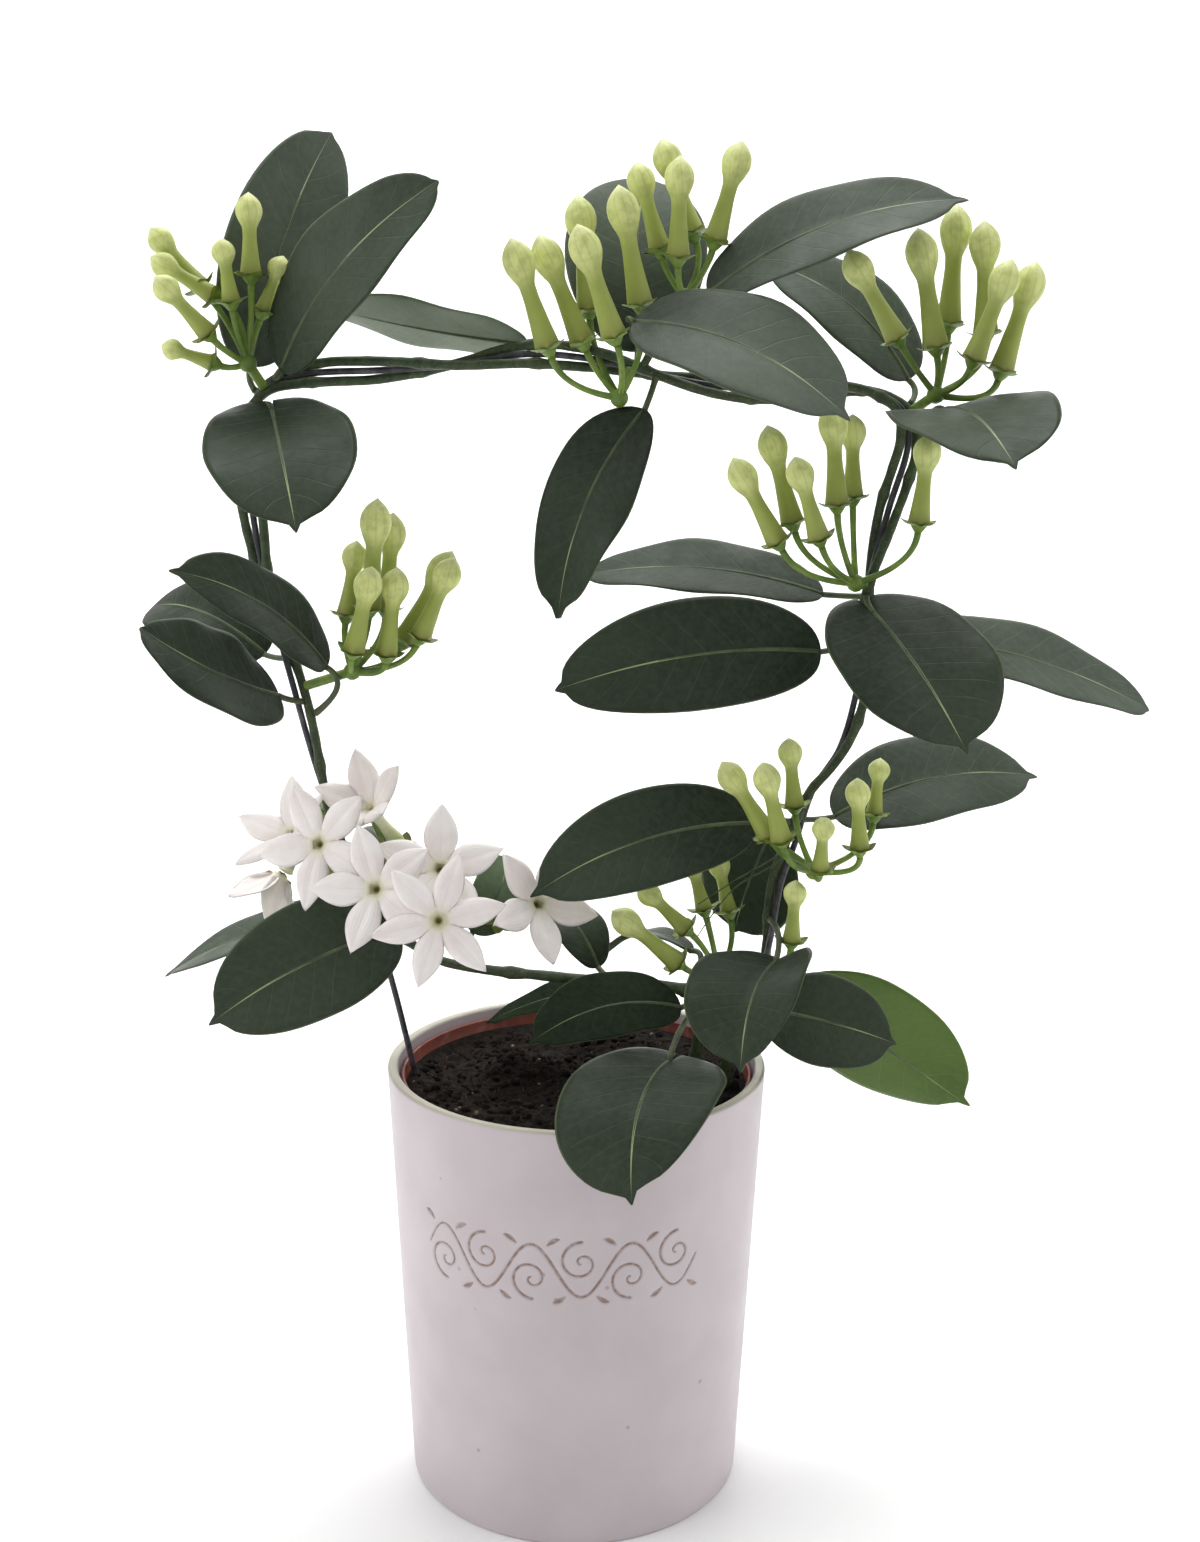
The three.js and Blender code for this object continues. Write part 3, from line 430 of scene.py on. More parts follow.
def volute(x, y, way):
    """A spiral that winds inwards, as points with a stroke width."""
    strokes = []
    for share in np.linspace(0, 1, VOLUTE.steps):
        radius = VOLUTE.reach * (1 - share) ** VOLUTE.ease + VOLUTE.eye
        angle = way * (math.pi / 2 + TAU * VOLUTE.turns * share)
        strokes.append((x + radius * math.cos(angle), y + radius * math.sin(angle),
                        ORNAMENT.stroke * (1 - 0.5 * share)))
    return strokes


def ornament():
    """Strokes of the engraved running scroll, on the unrolled wall: along it, height and width."""
    left, level, swing, stroke = ORNAMENT.left, ORNAMENT.level, ORNAMENT.swing, ORNAMENT.stroke
    width = ORNAMENT.right - left
    half = width / ORNAMENT.halves
    strokes = [[(x, level + swing * math.sin(math.pi * (x - left) / half),
                 stroke * (0.55 + 0.45 * math.sin(math.pi * (x - left) / width)))
                for x in np.linspace(left, ORNAMENT.right, ORNAMENT.steps)]]
    for k in range(ORNAMENT.halves):
        way = 1 if k % 2 else -1
        middle = left + (k + 0.5) * half
        strokes.append(volute(middle, level + way * swing * 0.35, way))
        for lean in (-1, 1):
            root = middle + lean * 2 * half * LEAFLET.offset
            strokes.append([(root + lean * LEAFLET.length * s,
                             level - way * (swing + LEAFLET.length * s * (1 - 0.4 * s)),
                             stroke * (0.35 + 1.3 * math.sin(math.pi * min(1, s * 1.05))))
                            for s in np.linspace(0, 1, LEAFLET.steps)])
    return strokes


def engraving(along, heights):
    """How deep, from 0 to 1, the scroll is cut at each place of a grid on the wall."""
    x, z = np.meshgrid(along, heights)
    depth = np.zeros_like(x)
    for stroke in ornament():
        for (x0, z0, w0), (x1, z1, w1) in zip(stroke, stroke[1:]):
            run, rise = x1 - x0, z1 - z0
            share = np.clip(((x - x0) * run + (z - z0) * rise) / max(run**2 + rise**2, 1e-9), 0, 1)
            off = np.hypot(x - x0 - share * run, z - z0 - share * rise)
            depth = np.maximum(depth, 1 - off / ((w0 + (w1 - w0) * share) / 2))
    depth = np.clip(depth, 0, 1)
    return depth * depth * (3 - 2 * depth)


def cover_pot(finish):
    height, wall, floor, bevel, corner = POT.height, POT.wall, POT.floor, POT.bevel, POT.corner
    low, high, grain = ORNAMENT.low, ORNAMENT.high, ORNAMENT.grain
    outer = [(0, 0), (POT.base_radius - 6, 0), *arc(POT.base_radius - bevel, bevel, bevel, -90, 0, 5)]
    levels = (*np.linspace(4, low - 1, 18), *np.arange(low, high, grain), *np.linspace(high, height - 2, 8))
    outer += [(pot_radius(z), z) for z in levels]
    rim = arc(POT.rim_radius - bevel - 0.05, height - bevel, bevel, 0, 90, 5)
    rim += arc(POT.rim_radius - wall + bevel, height - bevel, bevel, 90, 180, 5)
    inner = [(pot_radius(z) - wall, z) for z in np.linspace(height - 4, floor + corner, 24)]
    inner += [*arc(pot_radius(floor) - wall - corner, floor + corner, corner, 0, -90, 4), (0, floor)]
    profile = outer + rim + inner
    # columns are close on the front, where the scroll is, and wide apart round the back
    reach = ORNAMENT.reach / POT.rim_radius
    columns = np.array([*np.arange(-reach, reach, grain / POT.rim_radius),
                        *np.linspace(reach, TAU - reach, 90)])
    heights = np.array([z if k < len(outer) else 0 for k, (_, z) in enumerate(profile)])
    # how deep the scroll is cut: it shapes the wall and sets where the painted groove shade goes
    stain = engraving(columns * pot_radius(ORNAMENT.level), heights)
    stain[:, columns > reach] = 0
    angles = columns - math.pi / 2
    rows = []
    for (radius, z), cut in zip(profile, stain):
        depth = radius - cut * ORNAMENT.depth
        rows.append(np.stack([depth * np.cos(angles), depth * np.sin(angles), np.full_like(cut, z)], axis=1))
    skin = Skin()
    skin.sheet(rows, columns / TAU, heights / height, 0, stain)
    skin.build("cover_pot", "pot", finish)


def nursery_pot(finish):
    pot, wall, lip = NURSERY, NURSERY.wall, NURSERY.wall / 2
    corner, floor = POT.corner, POT.floor + GAP
    band = pot.band - pot.band_taper
    profile = [(0, floor), *arc(pot.base - corner, floor + corner, corner, -90, 0, 4),
               (pot.body, pot.band_foot), (band, pot.band_foot + wall),
               *arc(pot.band - lip, pot.rim - lip, lip, 0, 180, 6),
               (band - wall, pot.band_foot + 2 * wall), (pot.body - wall, pot.band_foot + wall),
               (pot.base - wall, floor + 2 * wall), (pot.base - 3, floor + wall), (0, floor + wall)]
    skin = Skin()
    skin.turned(ORIGIN, UP, EAST, [(z, r) for r, z in profile], 120)
    piece = skin.build("nursery_pot", "nursery", finish)
    plug = [(0, 0), (0, DRAIN.radius), (4 * wall, DRAIN.radius), (4 * wall, 0)]
    drains = Skin()
    for i in range(DRAIN.count):
        foot = swung(EAST, NORTH, TAU * i / DRAIN.count, DRAIN.ring) + UP * (floor - 2 * wall)
        drains.turned(foot, UP, EAST, plug, 24)
    cut_out(piece, drains)


def cut_out(piece, tool_skin):
    """Cuts the tool's shape out of a piece."""
    tool = placed("tool", tool_skin.mesh("tool"))
    weld(tool.data)
    change = piece.modifiers.new("cut", "BOOLEAN")
    change.operation, change.object = "DIFFERENCE", tool
    ready = piece.evaluated_get(bpy.context.evaluated_depsgraph_get())
    piece.data = bpy.data.meshes.new_from_object(ready)
    piece.modifiers.clear()
    bpy.data.objects.remove(tool)


# ---- Soil ----
LUMP = [(-1, 0), (-0.7, 0.7), (0, 1), (0.6, 0.75), (1, 0)]  # height and radius, as shares of a crumb's size
LUMP_SIDES = 6


def lump(skin, centre, size, draw, finish):
    """A small uneven crumb."""
    axis = unit(vec([draw.gauss(0, 1) for _ in range(3)]))
    stretch = draw.uniform(0.6, 1.0)
    shifts = [draw.uniform(0.75, 1.1) for _ in range(24)]
    profile = [(h * size * stretch, r * size) for h, r in LUMP]
    skin.turned(centre, axis, any_side(axis), profile, LUMP_SIDES, finish,
                lambda r, h, a: r * shifts[int(LUMP_SIDES * a / TAU) % LUMP_SIDES + LUMP_SIDES * (h > 0)])


def soil(peat, grit, fibre):
    draw = random.Random(SOIL.seed)
    skin = Skin()
    clear = NURSERY.wall + GAP
    rim = NURSERY.band - NURSERY.band_taper - clear

    def surface(r, a):
        """The point of the uneven top at a radius and an angle."""
        a %= TAU
        x, y = r * math.cos(a), r * math.sin(a)
        hump = SOIL.relief * (math.sin(r / 9 + 2 * a) + math.cos(r / 13 - 3 * a)) * min(1, r / 8)
        place = Vector((x, y, 0))
        crumb = noise.fractal(place * 0.35, 0.7, 2.1, 5) * 1.1 + abs(noise.noise(place * 0.12)) * 1.4 - 0.7
        return vec((x, y, SOIL.level + (hump + crumb) * smooth((rim - r) / 3)))

    radii = np.linspace(rim, 0, SOIL.rings)
    angles = np.linspace(0, TAU, SOIL.sides + 1)
    skin.sheet([[surface(r, a) for a in angles] for r in radii], angles / TAU, radii / rim)
    floor = POT.floor + GAP + clear
    foot, wall = NURSERY.band_foot, NURSERY.wall
    side = [(floor, 0), (floor, NURSERY.base - clear), (foot + wall, NURSERY.body - clear - GAP),
            (foot + 3 * wall, rim - GAP), (SOIL.level, rim)]
    skin.turned(ORIGIN, UP, EAST, side, SOIL.sides)

    def spot():
        r, a = (rim - 2.5) * math.sqrt(draw.random()), draw.uniform(0, TAU)
        return surface(r, a)

    for _ in range(SOIL.crumbs):
        lump(skin, spot(), draw.triangular(0.5, 3.0, 0.8), draw, 0)
    for _ in range(SOIL.grits):
        lump(skin, spot(), draw.uniform(0.5, 1.2), draw, 1)
    for _ in range(SOIL.fibres):
        start = spot()
        turn, reach = draw.uniform(0, TAU), draw.uniform(3, 9)
        run = swung(EAST, NORTH, turn, reach)
        bend = start + run / 2 + vec((draw.uniform(-2, 2), draw.uniform(-2, 2), draw.uniform(0.8, 2)))
        line = bezier(start + UP * 0.3, bend, start + run + UP * 0.2)
        skin.tube(line, 5, 4, lambda share: SOIL.fibre, finish=2)
    skin.build("soil", "soil", peat, grit, fibre)


# ---- Wire and stems ----
hoop = routed(HOOP)


def twined(start, end, phase):
    """Points of a helix round the hoop between two shares of its length."""
    steps = math.ceil(abs(end - start) * hoop.length / TWINE.pitch * TWINE.points)
    points = []
    for share in (start + (end - start) * i / steps for i in range(steps + 1)):
        t = hoop.where(share)
        depth = square_to(NORTH, hoop.tangent(t))
        outward = np.cross(depth, hoop.tangent(t))
        angle = TAU * share * hoop.length / TWINE.pitch + phase
        points.append(hoop.point(t) + swung(outward, depth, angle, TWINE.radius))
    return points


stems = {name: routed([*rise, *twined(*helix)]) for name, (*helix, rise) in STEMS.items()}
stem_spots = {name: [p for p in line.spaced(400) if p[2] > POT.height] for name, line in stems.items()}
shoot = routed([nearest(stem_spots[SHOOT_STEM], vec(SHOOT[0])), *SHOOT[1:]])
growth_spots = [*sum(stem_spots.values(), []), *shoot.spaced(20)[8:]]


def wire(finish):
    skin = Skin()
    skin.tube(hoop, 400, 12, lambda share: WIRE_RADIUS)
    skin.build("wire_hoop", "wire", finish)


def stem(name, finish):
    line = stems[name]
    knots = line.length / STEM.knot_gap

    def thickness(share):
        taper = STEM.radius + (STEM.base - STEM.radius) * max(0, 1 - share / STEM.taper)
        knot = max(0, math.cos(TAU * share * knots)) ** 24
        grain = noise.noise(Vector((share * line.length / 5, 0, len(name))))
        return taper * (1 + STEM.knot * knot + STEM.grain * grain)

    skin = Skin()
    skin.tube(line, int(line.length / 2.2), 12, thickness)
    if name == SHOOT_STEM:
        skin.tube(shoot, 24, 10, lambda share: STEM.shoot * (1.05 - 0.1 * share))
    for route in TENDRILS.get(name, ()):
        skin.tube(routed(route), 40, 6, lambda share: STEM.tendril * (1 - 0.5 * share))
    skin.build(name, "stem", finish)


# ---- Leaves ----
def half_width(row, share):
    body = min(1.0, share / (1 - row.point))
    oval = row.width / 2 * max(0.0, math.sin(math.pi * body ** LEAF.lean)) ** LEAF.fullness
    tip = LEAF.point_width / 2 * min(1.0, (1 - share) / row.point + LEAF.point_end)
    if share < 0.5:
        return max(oval, LEAF.petiole)
    return math.hypot(oval, tip * smooth((share - 0.5) / 0.3))


def leaf(name, row, *finishes):
    start = vec(row.base)
    span = row.tip - start
    axis = unit(span)
    normal = square_to(vec(row.face), axis)
    across = np.cross(normal, axis)
    length = np.linalg.norm(span)
    draw = random.Random(name)
    ripple, phase = draw.uniform(0.4, 1.0) * LEAF.ripple, draw.uniform(0, TAU)

    def bent(amount):
        return normal * (amount * row.arch) + across * (amount * row.sweep)

    def middle(share):
        return start + span * share + bent(4 * share * (1 - share))

    def surface(share, u, below):
        tangent = unit(axis + bent(4 * (1 - 2 * share) / length))
        up = square_to(normal, tangent)
        side = np.cross(up, tangent)
        half = half_width(row, share)
        fold = row.fold * half * (math.hypot(u, LEAF.ease) - LEAF.ease)
        wave = row.wave * u * u * math.sin(LEAF.waves * math.pi * share + u)
        flutter = ripple * abs(u) ** 3 * math.sin(TAU * LEAF.ripple_waves * share + phase + 2 * u)
        flutter *= smooth(min(share, 1 - share) * 6)
        body = min(LEAF.thickness, half) / 2 * rounded(u)
        groove = math.exp(-((u * half / LEAF.groove_width) ** 2)) * (1 - u * u) * smooth(8 * (1 - share))
        groove *= LEAF.groove
        lift = -body - 0.3 * groove if below else body - groove
        back = row.lobe * u * u * (1 - share) ** 4 + row.skew * u * math.sin(math.pi * share)
        return middle(share) + side * (u * half) + up * (fold + wave + flutter + lift) - tangent * back

    shares = [0.5 - 0.5 * math.cos(math.pi * k / LEAF.rows) for k in range(LEAF.rows + 1)]
    even = np.linspace(1, -1, LEAF.columns)
    columns = (np.sin(even * math.pi / 2) + even) / 2
    skin = Skin()
    for below, order in ((False, columns), (True, columns[::-1])):
        rows = [[middle(0)] * len(order), *([surface(s, u, below) for u in order] for s in shares)]
        skin.sheet([*rows, [middle(1)] * len(order)], order / 2 + 0.5, [0, *shares, 1], int(below))

    foot = nearest(growth_spots, start - axis * LEAF.set_back if row.root is None else vec(row.root))
    footstalk = bezier(foot, start - axis * (LEAF.bow * np.linalg.norm(foot - start)), start)
    clear = STEM.radius / max(footstalk.length, 4)
    skin.tube(footstalk, 14, 10, lambda t: LEAF.petiole * (1.15 - 0.25 * smooth(3 * t)), (clear, 1.0), 2)

    def rib(t):
        share = LEAF.rib_end * t
        return middle(share) - normal * (0.3 * min(LEAF.thickness, half_width(row, share)))

    skin.tube(Line(rib), 30, 8, lambda t: LEAF.rib * (1 - t) ** 0.8 + 0.1, finish=2, squash=LEAF.rib_squash)
    skin.build(name, "leaf", *finishes)


# ---- Umbels of buds, calyces and stalks ----
def sepals(skin, centre, axis, side, finish):
    """A low green cup with five pointed sepals that spread from it."""
    low, high = CALYX.below, CALYX.above
    cup = [(-low, STALK.pedicel), (-0.6 * low, 2.2), (-0.2 * low, 3.0), (0.2, 3.4), (high * 0.6, 3.1)]
    skin.turned(centre, axis, side, cup, 15, finish)
    up = np.cross(axis, side)
    shares, columns = np.linspace(0, 1, 7), np.linspace(-1, 1, 5)
    for k in range(CALYX.sepals):
        out = swung(side, up, TAU * k / CALYX.sepals)
        wide = np.cross(axis, out)
        for sign in (1, -1):
            rows = []
            for share in shares:
                reach = CALYX.root + (CALYX.reach - CALYX.root - 0.2) * share
                half = CALYX.half_width * math.sin(math.pi * (0.38 + 0.62 * share)) ** 0.65 + 0.05
                lift = -0.4 + CALYX.lift * share**2 + sign * 0.3 * (1 - share)
                rows.append([centre + out * reach - wide * (sign * half * u) + axis * (lift + 0.3 * abs(u))
                             for u in columns])
            skin.sheet(rows, columns / 2 + 0.5, shares, finish)


def pedicel(skin, start, calyx, axis, finish):
    end = calyx - axis * CALYX.below
    line = bezier(start, end - axis * (STALK.bow * np.linalg.norm(end - start)), end)
    skin.tube(line, 14, 9, lambda t: STALK.pedicel * (1.1 - 0.2 * math.sin(math.pi * t)), finish=finish)


def bud(skin, start, calyx, tip, finish, green):
    span = tip - calyx
    length = np.linalg.norm(span)
    axis = unit(span)
    side = any_side(axis)
    girth = BUD.head * math.sqrt(min(1.0, length / BUD.length))

    def reach(radius, height, angle):
        """Five seams run up the head and fade out at its tip."""
        share = height / length
        head = smooth((share - 0.5) / 0.2) * smooth((1 - share) / 0.06)
        ridge = abs(math.sin(2.5 * (angle + BUD.twist * share)))
        return radius * (1 - BUD.seam * head * (1 - ridge) ** 3)

    shares = np.linspace(0, 1, BUD.steps + 1)
    profile = [(0, 0), *((share * length, eased(BUD_SHAPE, share) * girth) for share in shares)]
    skin.turned(calyx, axis, side, profile, BUD.sides, finish, reach)
    sepals(skin, calyx, axis, side, green)
    pedicel(skin, start, calyx, axis, green)


def peduncle(skin, heart, finish):
    foot = nearest(growth_spots, heart)
    line = Line(lambda t: foot + (heart - foot) * t)
    skin.tube(line, 8, 12, lambda t: STALK.peduncle, (STEM.radius / max(line.length, 4), 1.0), finish)
    axis = unit(heart - foot)
    ball = [(-STALK.hub * math.cos(a), STALK.hub * math.sin(a)) for a in np.linspace(0, math.pi, 9)]
    skin.turned(heart, axis, any_side(axis), ball, 14, finish)


def umbel(name, hub, buds, *finishes):
    skin = Skin()
    peduncle(skin, vec(hub), 1)
    for calyx, tip in buds:
        bud(skin, vec(hub), vec(calyx), vec(tip), 0, 1)
    skin.build(name, "bud", *finishes)


# ---- Open flowers ----
def flower(name, row, *finishes):
    mouth, axis, count, length = row.mouth, row.axis, row.lobes, FLOWER.length
    above = square_to(UP, axis)
    right = np.cross(above, axis)
    half_sector = math.pi / count
    parting = FLOWER.sinus * math.cos(half_sector) / length
    skin = Skin()
    draw = random.Random(name)

    def outward(turn):
        return swung(right, above, math.radians(row.spin + 360 * turn / count))

    def run(turn):
        return swung(outward(turn), axis, row.cup)

    shares = np.linspace(FLOWER.throat / length, 1, 19)
    columns = np.linspace(-1, 1, 13)
    for i in range(count):
        side = np.cross(axis, outward(i))
        up = np.cross(run(i), side)
        twist, droop, phase = draw.uniform(-0.5, 0.5), draw.uniform(0.85, 1.1), draw.uniform(0, TAU)

        def lobe(share, u, below):
            reach = share * length
            spine = mouth + run(i) * reach - up * (FLOWER.recurve * droop * share**2)
            if share < parting:
                edge = mouth + run(i + 0.5 * np.sign(u)) * (reach / math.cos(half_sector))
                fullness = 0.4
            else:
                fullness = eased(LOBE_SHAPE, share)
                wide = fullness * FLOWER.width * FLOWER.lobes / count / 2
                fall = FLOWER.roll * fullness + twist * np.sign(u) * share
                edge = spine + side * (wide * np.sign(u)) - up * fall
            # the feet of the lobes share one dish, whose skin is whole from lobe to lobe
            joined = 1 - smooth((share - parting) / FLOWER.dish)
            swell = FLOWER.swell * fullness * math.sin(math.pi * abs(u))
            ruffle = FLOWER.ruffle * u * u * math.sin(7 * share + 2 * u + phase) * share
            thick = FLOWER.thickness / 2 * (rounded(u) + (1 - rounded(u)) * joined) * (share < 1)
            rise = up + (swung(axis, -outward(i + u / 2), row.cup) - up) * joined
            lift = (swell + ruffle) * (1 - joined) + (-thick if below else thick)
            return spine + (edge - spine) * abs(u) + rise * lift

        for below, order in ((False, columns[::-1]), (True, columns)):
            skin.sheet([[lobe(s, u, below) for u in order] for s in shares], order / 2 + 0.5, shares)

    skin.turned(mouth, axis, right, FUNNEL, 20, 2)
    tube = [((share - 1) * FLOWER.tube, eased(TUBE_SHAPE, share)) for share in np.linspace(0, 1, 22)]
    skin.turned(mouth, axis, right, [(-FLOWER.tube, 0), *tube], 20, 1,
                lambda r, h, a: r * (1 + 0.03 * math.cos(5 * a)))
    skin.build(name, "petal", *finishes)


def flower_stalks(green):
    skin = Skin()
    peduncle(skin, FLOWER_HUB, 0)
    for row in FLOWERS.values():
        calyx = row.mouth - row.axis * (FLOWER.tube + GAP + CALYX.above)
        sepals(skin, calyx, row.axis, any_side(row.axis), 0)
        pedicel(skin, FLOWER_HUB, calyx, row.axis, 0)
    skin.build("flower_stalks", "stem", green)


# ---- Finishes ----
def colour(code):
    """The linear light of a screen colour in hexadecimal."""
    return *(((c / 255 + 0.055) / 1.055) ** 2.4 for c in bytes.fromhex(code)), 1


class Nodes:
    """A node tree, with short calls that add to it."""

    def __init__(self, owner):
        owner.use_nodes = True
        self.tree = owner.node_tree

    def node(self, kind, inputs, **options):
        made = self.tree.nodes.new("ShaderNode" + kind)
        for key, value in options.items():
            setattr(made, key, value)
        self.feed(made, inputs)
        return made

    def feed(self, node, inputs):
        """Sets a node's inputs, each to a constant or to another node's output."""
        for key, value in inputs.items():
            socket = node.inputs[key.replace("_", " ") if isinstance(key, str) else key]
            if isinstance(value, bpy.types.NodeSocket):
                self.tree.links.new(value, socket)
            else:
                socket.default_value = value

    def split(self, vector):
        return self.node("SeparateXYZ", {0: vector}).outputs


class Paint(Nodes):
    """A material: over() lays colours on its ground, and done() hands it over."""

    def __init__(self, name, **settings):
        self.material = bpy.data.materials.new(name)
        super().__init__(self.material)
        self.tree.nodes.clear()
        self.shader = self.node("BsdfPrincipled", settings)
        self.node("OutputMaterial", {"Surface": self.shader.outputs[0]})
        self.spot = self.node("TexCoord", {}).outputs["Object"]

    def maths(self, operation, a, b=0.0):
        return self.node("Math", {0: a, 1: b}, operation=operation).outputs[0]

    def times(self, a, b):
        return self.maths("MULTIPLY", a, b)

    def noise(self, scale, detail=4.0, roughness=0.55):
        inputs = {"Scale": scale, "Detail": detail, "Roughness": roughness, "Vector": self.spot}
        return self.node("TexNoise", inputs).outputs["Fac"]

    def band(self, value, low, high, start=0.0, end=1.0):
        """Start below low, end above high, smooth between."""
        inputs = {"Value": value, "From_Min": low, "From_Max": high, "To_Min": start, "To_Max": end}
        return self.node("MapRange", inputs, interpolation_type="SMOOTHSTEP").outputs["Result"]

    def fade(self, value, low, high, start=1.0):
        return self.band(value, low, high, start, 0)

    def patches(self, scale, low, high, detail=4.0, start=0.0, end=1.0):
        return self.band(self.noise(scale, detail), low, high, start, end)

    def specks(self, scale, low, high):
        cells = self.node("TexVoronoi", {"Scale": scale, "Vector": self.spot})
        return self.fade(cells.outputs["Distance"], low, high)

    def blend(self, share, a, b):
        # 6, 7 and output 2 are the sockets of the node's colours
        return self.node("Mix", {0: share, 6: a, 7: b}, data_type="RGBA").outputs[2]

    def ground(self, share, low, high):
        self.base = self.blend(share, colour(low), colour(high))

    def over(self, share, code, strength=None):
        """Lays a colour over the base where share says so."""
        self.base = self.blend(self.times(share, strength) if strength else share, self.base, colour(code))

    def place(self):
        """Across and along the skin."""
        return self.split(self.node("UVMap", {}, uv_map="place").outputs[0])[:2]

    def off_middle(self, across):
        """From 0 on the middle line to 1 on both edges."""
        return self.maths("ABSOLUTE", self.maths("SUBTRACT", self.times(across, 2.0), 1.0))

    def done(self, relief=None, strength=0.0, depth=0.0005, **inputs):
        if relief:
            bump = {"Height": relief, "Strength": strength, "Distance": depth}
            inputs["Normal"] = self.node("Bump", bump).outputs[0]
        self.feed(self.shader, {"Base_Color": self.base, **inputs})
        return self.material


def ceramic():
    paint = Paint("ceramic", Roughness=0.5, Coat_Weight=0.12, Coat_Roughness=0.35)
    paint.ground(paint.patches(26, 0.3, 0.7), "c6bbbf", "cdc3c7")
    paint.over(paint.times(paint.specks(95, 0.06, 0.1), paint.patches(38, 0.6, 0.64, 1)), "968280", 0.6)
    paint.over(paint.band(paint.split(paint.spot)[2], 0.1656, 0.1664), "b4b09e")
    # painted shade: the scroll's cut strokes are coloured brownish to stand in for the shade in their
    # grooves, unevenly in patches
    stain = paint.node("Attribute", {}, attribute_name="stain").outputs["Fac"]
    wear = paint.patches(420, 0.35, 0.6, 3, 0.55)
    paint.over(paint.times(paint.band(stain, 0.12, 0.75), wear), "927a70")
    return paint.done(paint.noise(520, 3), 0.06, Roughness=paint.patches(60, 0.3, 0.7, 4, 0.42, 0.55))


def plastic():
    paint = Paint("terracotta_plastic", Roughness=0.5)
    mottle = paint.noise(45)
    paint.ground(paint.band(mottle, 0.35, 0.65), "7a3a2e", "8c483a")
    paint.over(paint.patches(160, 0.52, 0.7, 5), "967668", 0.4)
    return paint.done(paint.noise(300), 0.15, Roughness=paint.band(mottle, 0.3, 0.7, 0.4, 0.6))


def earth(name, dark, light, scale):
    paint = Paint(name, Roughness=0.95, Specular_IOR_Level=0.15)
    paint.ground(paint.band(paint.noise(scale, 6, 0.7), 0.35, 0.7), dark, light)
    return paint.done(paint.noise(2 * scale, 6, 0.7), 0.7, 0.0012)


def coated_wire():
    paint = Paint("coated_wire", Roughness=0.42)
    paint.ground(paint.patches(190, 0.45, 0.7), "34343a", "5c5860")
    return paint.done(paint.noise(700, 2), 0.12, Roughness=paint.patches(400, 0.3, 0.7, 4, 0.32, 0.5))


def bark():
    paint = Paint("young_bark", Roughness=0.6)
    streak = paint.noise(240, 5, 0.65)
    paint.ground(paint.band(streak, 0.3, 0.7), "283622", "445632")
    paint.over(paint.patches(30, 0.45, 0.68, 3), "46402e", 0.25)
    paint.over(paint.specks(620, 0.12, 0.22), "8c8668", 0.35)
    return paint.done(streak, 0.4)


def veined(name, blade_colour, shade, vein, midrib, gloss, coat, depth=0.4):
    """A thick leaf face: midrib, faint side veins that run out to the edge, a pale rim, uneven gloss and
    painted shade towards its foot.
    """
    paint = Paint(name, Roughness=gloss)
    across, along = paint.place()
    off = paint.off_middle(across)
    run = paint.maths("SUBTRACT", paint.times(along, 9.0), paint.times(off, 1.5))
    ripple = paint.maths("PINGPONG", paint.maths("ADD", run, paint.times(paint.noise(60, 2), 0.35)), 0.5)
    side_veins = paint.times(paint.fade(ripple, 0, 0.045), paint.fade(off, 0.72, 0.96))
    grain = paint.patches(420, 0.3, 0.7)
    paint.ground(paint.patches(14, 0.35, 0.65, 3), blade_colour, shade)
    # painted shade, darkening the blade towards its foot
    paint.over(paint.fade(along, 0, 0.5, depth), "181e18")
    paint.over(grain, vein, 0.16)
    paint.over(side_veins, vein, 0.22)
    rib_width = paint.band(along, 0, 1, 0.031, 0.013)
    rib = paint.fade(paint.maths("DIVIDE", off, rib_width), 0.55, 1.05)
    paint.over(paint.times(rib, paint.band(along, 0.75, 1, 0.95, 0.5)), midrib)
    paint.over(paint.band(off, 0.965, 0.99), midrib, 0.3)
    relief = paint.maths("ADD", paint.times(side_veins, -0.5), paint.times(grain, 0.12))
    return paint.done(relief, 0.35, 0.0006, Coat_Weight=coat, Coat_Roughness=0.3, Specular_IOR_Level=4 * coat,
                      Roughness=paint.patches(90, 0.3, 0.7, 3, gloss - 0.06, gloss + 0.08))


def stalk(name, green, shade):
    paint = Paint(name, Roughness=0.5, Subsurface_Weight=0.08, Subsurface_Scale=0.002)
    paint.ground(paint.patches(120, 0.35, 0.65), green, shade)
    paint.over(paint.specks(900, 0.1, 0.2), "96a060", 0.3)
    return paint.done(paint.noise(400, 3), 0.2)


def waxy_bud():
    paint = Paint("waxy_bud", Roughness=0.5, Subsurface_Weight=0.2, Subsurface_Scale=0.004,
                  Subsurface_Radius=(0.8, 1.0, 0.4))
    across, along = paint.place()
    paint.ground(paint.band(along, 0.45, 0.75), "9eaa50", "dae092")
    paint.over(paint.band(along, 0.86, 1), "dee0a6")
    paint.over(paint.fade(along, 0, 0.2, 0.5), "887e46")
    ribs = paint.maths("PINGPONG", paint.maths("ADD", paint.times(across, 10.0), along), 0.5)
    paint.over(paint.fade(ribs, 0, 0.14, 0.26), "96a654")
    paint.over(paint.patches(260, 0.4, 0.65, 5), "92a054", 0.35)
    return paint.done(paint.noise(500, 3), 0.12)


